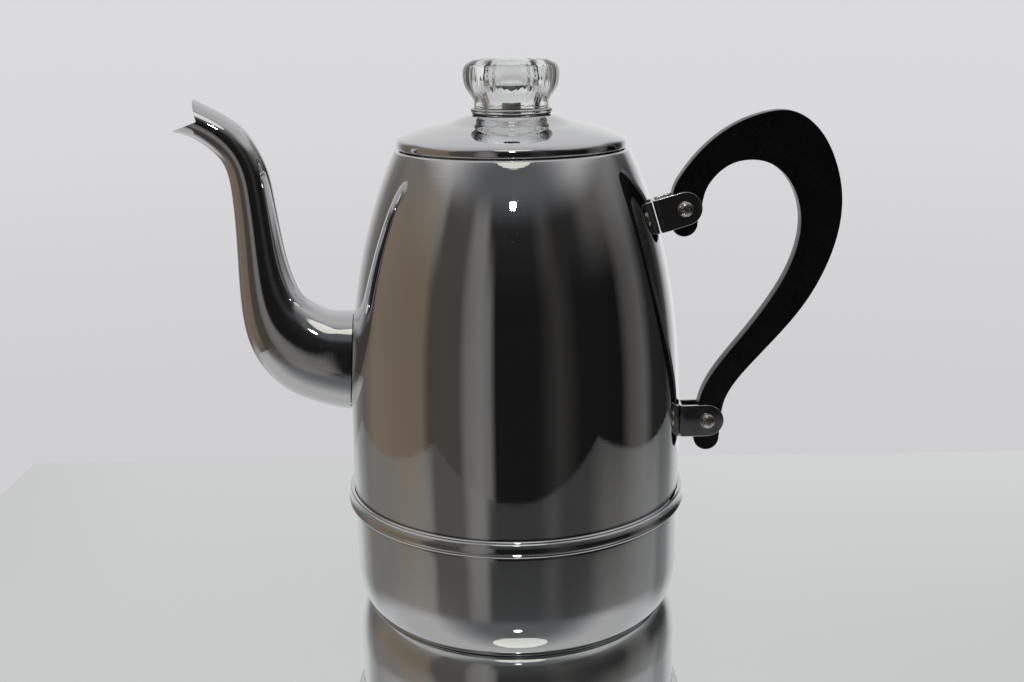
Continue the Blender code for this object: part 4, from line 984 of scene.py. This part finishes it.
def make_knob():
    """Bulb cut with flutes: its radius loses the flute depth times the absolute sine of
    half the flute count times the angle, so sharp ridges stand between hollow flutes,
    plus finer ribs, three to a flute, by the same rule. The depth fades out towards
    neck and crown. Two lugs stand out from the plug."""
    outline, fluted = knob_outline()
    sides = KNOB_FLUTES * 24
    grid = turned(outline, sides)
    a = ring_angles(sides)
    height = outline[fluted, 1]
    up = (height - height.min()) / (height.max() - height.min())
    fade = np.sin(np.pi * up) ** FLUTE_FADE
    ribs = np.abs(np.sin(KNOB_FLUTES * a / 2)) + RIB_SHARE * np.abs(np.sin(1.5 * KNOB_FLUTES * a))
    depth = FLUTE_DEPTH * fade[:, None] * ribs[None, :]
    grid[fluted, :, :2] *= (1 - depth / outline[fluted, :1])[..., None]
    r = np.hypot(grid[..., 0], grid[..., 1])
    on_plug = (np.abs(r - PLUG_RADIUS) < 0.0003) & (grid[..., 2] < LUG_TOP)
    lug = np.abs(np.mod(a + np.pi / 2, np.pi) - np.pi / 2) < LUG_ANGLE / 2
    reach = np.where(on_plug & lug, (PLUG_RADIUS + LUG_REACH) / np.maximum(r, 1e-9), 1.0)
    grid[..., :2] *= reach[..., None]
    knit("knob_glass", [(grid, False, True)], "knob", clear_glass("knob_clear"), "glass_knob")


# Inner pieces

FOOT_BOTTOM = SHELL_WALL + FIT_GAP
SLEEVE_RADIUS = STEM_RADIUS + FIT_GAP + FOOT_WALL
DOME_BASE = FOOT_BOTTOM + FOOT_SKIRT
SLEEVE_BASE = DOME_BASE + FOOT_DOME_HEIGHT
STEM_TOP = KNOB_BASE + STEM_IN_KNOB
PLATE_LOW = DOME_BASE - VALVE_PLATE_THICKNESS - FIT_GAP
BASKET_TOP = POT_HEIGHT - BASKET_HANG
BASKET_BOTTOM = BASKET_TOP - BASKET_HEIGHT
BASKET_RIM_RADIUS = MOUTH_RADIUS - BASKET_CLEARANCE
BASKET_RADIUS = BASKET_RIM_RADIUS - BASKET_RIM
TUBE_BORE = STEM_RADIUS + SLIDE_GAP
TUBE_OUTSIDE = TUBE_BORE + BASKET_TUBE_WALL
FLOOR_SIDES = 180


def turned_piece(node, body, corners, ease, sides=SMALL_SIDES):
    """One turned solid with eased corners."""
    outline = eased([(r, z, ease) for r, z in corners])
    knit(node + "_spun", [(turned(outline, sides), True, True)], body,
         spun_aluminium(node + "_metal"), node, sharp=50)


def pierced(bounds, rings, hole, low, high):
    """Flat ring-shaped floor with holes. Each hole (radius, count, turn) lies in a cell
    of its ring; the cell's surface blends from the hole's circle to the cell's border
    along straight lines from the hole's centre. The two faces and each hole's wall."""
    grids = []
    for (inner, outer), (radius, count, turn) in zip(zip(bounds, bounds[1:]), rings):
        width = 2 * np.pi / count
        across = np.linspace(-0.5, 0.5, FLOOR_SIDES // count + 1) * width
        up = np.linspace(0, 1, 7)[:-1]
        angle = np.concatenate((across[:-1], np.full(6, width / 2), across[::-1][:-1],
                                np.full(6, -width / 2)))
        reach = np.concatenate((np.full(len(across) - 1, inner), inner + (outer - inner) * up,
                                np.full(len(across) - 1, outer), outer + (inner - outer) * up))
        border = np.stack((reach * np.cos(angle), reach * np.sin(angle)), axis=-1)
        centre = np.array((radius, 0.0))
        lead = border - centre
        circle = centre + unit(lead) * hole
        blend = np.array((0.0, 0.10, 0.35, 1.0))[:, None, None]
        cell = circle * (1 - blend) + border * blend
        for k in range(count):
            a = turn + k * width
            spin = np.array(((math.cos(a), math.sin(a)), (-math.sin(a), math.cos(a))))
            flat = cell @ spin
            level = np.ones(flat.shape[:2] + (1,))
            face = [np.concatenate((flat, level * z), axis=-1) for z in (low, high)]
            grids += [(face[0], False, True), (face[1], False, True),
                      (np.stack((face[0][0], face[1][0])), False, True)]
    return grids


def floor_rings(first):
    """Rings of holes from a first radius outwards, and the circles between them."""
    rings = [(first + i * PERFORATION_PITCH, PERFORATION_STEP * (i + 1),
              i * np.pi / (PERFORATION_STEP * (i + 1))) for i in range(PERFORATION_RINGS)]
    edges = [first + (i + 0.5) * PERFORATION_PITCH for i in range(PERFORATION_RINGS - 1)]
    return rings, edges


def make_stem():
    """Plain tube from the foot's sleeve up into the knob."""
    inner, outer = STEM_RADIUS - STEM_WALL, STEM_RADIUS
    turned_piece("pump_stem", "pump", [(inner, SLEEVE_BASE), (outer, SLEEVE_BASE),
                                       (outer, STEM_TOP), (inner, STEM_TOP)], 0.0002, 64)


def make_foot():
    """Bell on a quarter ellipse with a sleeve. The lower edge rises over each notch by
    the square root of r^2 - s^2, s being the distance along the edge from its middle."""
    sides = 360
    a = ring_angles(sides)
    t = np.linspace(0, np.pi / 2, 24)
    dome = np.column_stack((SLEEVE_RADIUS + (FOOT_RADIUS - SLEEVE_RADIUS) * np.cos(t),
                            DOME_BASE + FOOT_DOME_HEIGHT * np.sin(t)))
    line = np.vstack(([(FOOT_RADIUS, FOOT_BOTTOM)] * 6, dome,
                      [(SLEEVE_RADIUS, SLEEVE_BASE + FOOT_SLEEVE)]))
    line[1:6, 1] += (DOME_BASE - FOOT_BOTTOM) * np.linspace(0, 1, 7)[1:-1]
    other = offset(line[5:], FOOT_WALL)
    other = np.vstack((np.column_stack((np.full(5, FOOT_RADIUS - FOOT_WALL), line[:5, 1])), other))
    grid = turned(np.vstack((line, other[::-1])), sides)
    step = 2 * np.pi / FOOT_NOTCHES
    along = (np.mod(a + step / 2, step) - step / 2) * FOOT_RADIUS
    rise = np.sqrt(np.maximum(FOOT_NOTCH_RADIUS ** 2 - along ** 2, 0))
    left = np.clip((DOME_BASE - grid[..., 2]) / (DOME_BASE - FOOT_BOTTOM), 0, 1)
    grid[..., 2] += rise[None, :] * left
    knit("pump_foot_spun", [(grid, True, True)], "pump", spun_aluminium("pump_foot_metal"),
         "pump_foot", sharp=50)


def make_plate():
    """Disc with a ring of holes: a pierced ring between a plain middle and edge."""
    high = PLATE_LOW + VALVE_PLATE_THICKNESS
    radius = FOOT_RADIUS - FOOT_WALL - FIT_GAP
    inner, outer = VALVE_HOLE_RING - VALVE_RING_HALF, VALVE_HOLE_RING + VALVE_RING_HALF
    middle = [[(0, z), (inner, z)] for z in (PLATE_LOW, high)]
    edge = [(outer, PLATE_LOW), (radius, PLATE_LOW), (radius, high), (outer, high)]
    grids = [(turned(line, FLOOR_SIDES), False, True) for line in middle + [edge]]
    grids += pierced((inner, outer), [(VALVE_HOLE_RING, VALVE_HOLES, 0.0)], VALVE_HOLE_RADIUS,
                     PLATE_LOW, high)
    knit("valve_plate_stamped", grids, "pump", spun_aluminium("valve_plate_metal"),
         "valve_plate", sharp=35)


def make_basket():
    """Cup with a drawn corner and a turned-out rim round its pierced floor."""
    low, high = BASKET_BOTTOM, BASKET_BOTTOM + BASKET_WALL
    foot = BASKET_RADIUS - BASKET_TAPER - BASKET_CORNER_ROUND
    corner = arc((foot, low + BASKET_CORNER_ROUND), BASKET_CORNER_ROUND, -90, 0, 14)
    rim = BASKET_TOP - BASKET_WALL
    turn = arc((BASKET_RADIUS + BASKET_RIM_ROUND, rim - BASKET_RIM_ROUND), BASKET_RIM_ROUND,
               180, 90, 6)[1:]
    line = np.vstack((corner, [(BASKET_RADIUS, rim - BASKET_RIM_ROUND)], turn,
                      [(BASKET_RIM_RADIUS, rim)]))
    wall = sheet(line, BASKET_WALL)
    hole = TUBE_OUTSIDE + FIT_GAP
    rings, edges = floor_rings(TUBE_OUTSIDE + BASKET_TUBE_FLANGE + PERFORATION_RADIUS * 3)
    grids = [(turned(wall, FLOOR_SIDES), False, True),
             (turned([(hole, low), (hole, high)], FLOOR_SIDES), False, True)]
    grids += pierced((hole, *edges, foot), rings, PERFORATION_RADIUS, low, high)
    knit("basket_spun", grids, "strainer", spun_aluminium("basket_metal"), "basket", sharp=40)


def make_cover():
    """Spreader: collar on the stem, pierced sunk floor, sloped wall and flat rim."""
    rest = BASKET_TOP + FIT_GAP
    low = rest - COVER_SINK
    high = low + BASKET_WALL
    inside = BASKET_RADIUS - BASKET_WALL - SLIDE_GAP
    foot = inside - COVER_SLOPE
    collar = TUBE_BORE + COVER_COLLAR_WIDTH
    neck = sheet([(TUBE_BORE, low + COVER_COLLAR_RISE),
                  (TUBE_BORE + COVER_COLLAR_WIDTH / 2, low + COVER_COLLAR_RISE),
                  (collar, low)], BASKET_WALL)
    neck[3, 1] = high
    wall = sheet([(foot, low), (inside, rest), (BASKET_RIM_RADIUS, rest)], BASKET_WALL)
    wall[-1] = (foot, high)
    rings, edges = floor_rings(collar + PERFORATION_RADIUS * 3)
    grids = [(turned(neck[[2, 1, 0, 5, 4, 3]], FLOOR_SIDES), False, True),
             (turned(wall, FLOOR_SIDES), False, True)]
    grids += pierced((collar, *edges, foot), rings, PERFORATION_RADIUS, low, high)
    knit("cover_spun", grids, "cover", spun_aluminium("cover_metal"), "basket_cover", sharp=35)


def make_small_inner():
    """Loose washer, stop on the stem and the basket's flanged tube."""
    low = PLATE_LOW + VALVE_PLATE_THICKNESS + FIT_GAP
    high = low + VALVE_THICKNESS
    turned_piece("valve_washer", "valve", [(VALVE_BORE, low), (VALVE_RADIUS, low),
                                           (VALVE_RADIUS, high), (VALVE_BORE, high)], 0.00015)
    top = BASKET_BOTTOM - FIT_GAP
    bore, low = STEM_RADIUS + FIT_GAP, top - STOP_HEIGHT
    turned_piece("stem_stop", "pump", [(bore, low), (STOP_RADIUS - FIT_GAP, low),
                                       (STOP_RADIUS, low + STOP_HEIGHT / 2),
                                       (STOP_RADIUS, top), (bore, top)], 0.0002)
    low, end = BASKET_BOTTOM + BASKET_WALL + FIT_GAP, BASKET_TOP - BASKET_TUBE_SHORT
    brim = TUBE_OUTSIDE + BASKET_TUBE_FLANGE
    turned_piece("basket_tube", "strainer",
                 [(TUBE_BORE, BASKET_BOTTOM), (TUBE_OUTSIDE, BASKET_BOTTOM), (TUBE_OUTSIDE, low),
                  (brim, low), (brim, low + BASKET_WALL), (TUBE_OUTSIDE, low + BASKET_WALL),
                  (TUBE_OUTSIDE, end), (TUBE_BORE, end)], 0.00015)


# Studio

def make_floor():
    """Plain pale plate with a polished face, its far edge just behind the pot."""
    left, right, front, rear = -0.285, 0.302, -0.24, 0.163
    top, bottom = -0.00002, -0.012
    ring = [(left, front), (right, front), (right, rear), (left, rear)]
    points = [(x, y, z) for z in (top, bottom) for x, y in ring]
    faces = [(0, 1, 2, 3), (7, 6, 5, 4), (0, 4, 5, 1), (1, 5, 6, 2), (2, 6, 7, 3), (3, 7, 4, 0)]
    mesh = bpy.data.meshes.new("floor")
    mesh.from_pydata(points, [], faces)
    look = Look("floor_plate", (0.97, 0.99, 0.98), 0.02, 0.92)
    look.dull(look.noise(look.place, 30.0, 5.0, 0.6), 0.4, 0.75, 0.012, 0.035)
    mesh.materials.append(look.made)
    placed("floor", mesh)


# Walls of the studio as upright bands: (degrees from the front, brightness, share of
# blue). The low bands lie below the horizon, the high ones above it. They were tuned
# until the metal came near the tones that it has in the photograph.
LOW_BANDS = (
    (-180, 0.72, 1.00), (-162, 0.68, 1.00), (-149, 0.46, 1.00), (-138, 0.20, 0.92),
    (-127, 0.13, 0.80), (-112, 0.20, 0.62), (-84, 0.18, 0.56), (-66, 0.17, 0.60),
    (-60, 0.070, 0.72), (-38, 0.066, 0.78), (-33, 0.15, 0.88), (-24, 0.19, 0.92),
    (-17, 0.15, 0.95), (-13, 0.010, 1.00), (16, 0.010, 1.00), (30, 0.034, 0.90),
    (44, 0.010, 1.00), (76, 0.008, 1.00), (84, 0.070, 0.90), (98, 0.110, 0.94),
    (108, 0.020, 1.00), (126, 0.016, 1.00), (134, 0.06, 1.00), (142, 0.46, 1.00),
    (154, 0.82, 1.00), (168, 0.82, 1.00), (180, 0.72, 1.00))
HIGH_BANDS = (
    (-180, 0.62, 1.00), (-162, 0.62, 1.00), (-148, 0.62, 1.00), (-136, 0.36, 1.00),
    (-124, 0.19, 0.92), (-98, 0.19, 0.84), (-76, 0.24, 0.72), (-61, 0.22, 0.84),
    (-56, 0.070, 0.80), (-36, 0.076, 0.80), (-30, 0.18, 0.92), (-22, 0.19, 0.92),
    (-17, 0.020, 1.00), (14, 0.020, 1.00), (24, 0.055, 0.94), (34, 0.022, 0.90),
    (50, 0.030, 0.94), (62, 0.10, 0.92), (76, 0.13, 0.90), (94, 0.20, 0.96),
    (112, 0.26, 1.00), (120, 0.17, 1.00), (131, 0.24, 1.00), (144, 0.52, 1.00),
    (156, 0.60, 1.00), (168, 0.62, 1.00), (180, 0.62, 1.00))


def make_world():
    """Soft studio all round: bright behind the pot, grey and beige walls at the sides,
    dark in front, a ceiling that is darkest in front, and a dark ground. Straight views
    of the camera see a pale backdrop instead."""
    world = bpy.data.worlds.new("studio")
    bpy.context.scene.world = world
    world.use_nodes = True
    world.node_tree.nodes.clear()
    studio = Nodes(world.node_tree)
    add, join, blend = studio.add, studio.join, studio.mix

    def lift(value, low, high):
        """Eased rise from 0 to 1 between a low and a high value."""
        return studio.ramp(value, low, high, smooth=True)

    across, behind, above = studio.apart(add("ShaderNodeTexCoord").outputs["Generated"])
    front = studio.math("MULTIPLY", behind, -1.0)
    around = studio.ramp(studio.math("ARCTAN2", across, front), -math.pi, math.pi)

    def walls(bands):
        """Colour round the pot, blended straight from band to band."""
        ramp = add("ShaderNodeValToRGB")
        stops = ramp.color_ramp.elements
        while len(stops) < len(bands):
            stops.new(0.5)
        for stop, (degrees, value, blue) in zip(stops, bands):
            stop.position = (degrees + 180) / 360
            stop.color = (value, value * (1 + blue) / 2, value * blue, 1)
        join(around, ramp.inputs["Fac"])
        return ramp.outputs[0]

    room = blend(lift(above, 0.10, 0.50), walls(LOW_BANDS), walls(HIGH_BANDS))
    overhead = blend(lift(behind, -0.75, -0.25), (0.100, 0.104, 0.110), (0.47, 0.46, 0.46))
    ceiling = blend(lift(behind, 0.0, 0.7), overhead, (0.59, 0.59, 0.61))
    ground = blend(lift(behind, -0.3, 0.4), (0.050, 0.048, 0.046), (0.60, 0.60, 0.61))
    lowered = studio.math("MULTIPLY", lift(behind, 0.0, 1.0), 0.08)
    raised = studio.math("SUBTRACT", above, lowered)
    upper = blend(lift(raised, 0.42, 0.60), room, ceiling)
    whole = blend(lift(above, -0.40, -0.62), upper, ground)
    backdrop = blend(lift(above, -0.32, 0.0), (0.63, 0.62, 0.635), (0.71, 0.70, 0.725))
    shown = blend(add("ShaderNodeLightPath").outputs["Is Camera Ray"], whole, backdrop)
    back = add("ShaderNodeBackground")
    join(shown, back.inputs["Color"])
    join(back.outputs[0], add("ShaderNodeOutputWorld").inputs["Surface"])


def add_light(name, place, target, width, depth, power, tint=(1.0, 1.0, 1.0)):
    """Soft oval lamp that looks at a target: its back points from the target to it."""
    lamp = bpy.data.lights.new(name, "AREA")
    lamp.shape = "ELLIPSE"
    lamp.size, lamp.size_y = width, depth
    lamp.energy = power
    lamp.color = tint
    back = unit(np.subtract(place, target).astype(float))
    right = unit(np.cross((0, 0, 1), back))
    up = np.cross(back, right)
    rows = np.column_stack((right, up, back, place)).tolist()
    placed(name, lamp).matrix_world = Matrix((*rows, (0, 0, 0, 1)))


def make_camera():
    """Camera at its fitted place, pitched down and rolled about its own axis."""
    camera = bpy.data.cameras.new("camera")
    camera.sensor_width = SENSOR_WIDTH
    camera.lens = FOCAL_PIXELS * SENSOR_WIDTH / IMAGE_WIDTH
    camera.clip_start = 0.01
    holder = placed("camera", camera)
    holder.matrix_world = (Matrix.Translation(CAMERA_PLACE)
                           @ Matrix.Rotation(math.pi / 2 - CAMERA_PITCH, 4, "X")
                           @ Matrix.Rotation(CAMERA_ROLL, 4, "Z"))
    bpy.context.scene.camera = holder


make_camera()
make_world()
make_floor()
add_light("front_spot", (0.0, -1.10, 0.84), (0, 0, 0.15), 0.11, 0.04, 0.5)
add_light("top_soft", (0.03, -0.91, 1.30), (0, 0, 0.19), 0.80, 0.50, 0.66, (1.0, 1.0, 0.86))
make_body_shell()
make_base_pan()
make_seam_band()
make_spout()
HANDLE_ENDS = (("upper", BRACKET_HIGH), ("lower", BRACKET_LOW))
for end, height in HANDLE_ENDS:
    make_bracket(end + "_bracket", height)
make_handle()
for end, height in HANDLE_ENDS:
    make_screw(end + "_screw", height)
for end, height in HANDLE_ENDS:
    make_nut(end + "_nut", height)
make_lid()
make_lid_skirt()
make_washer()
make_knob()
make_stem()
make_foot()
make_plate()
make_basket()
make_cover()
make_small_inner()

bpy.context.scene.view_settings.view_transform = "Standard"
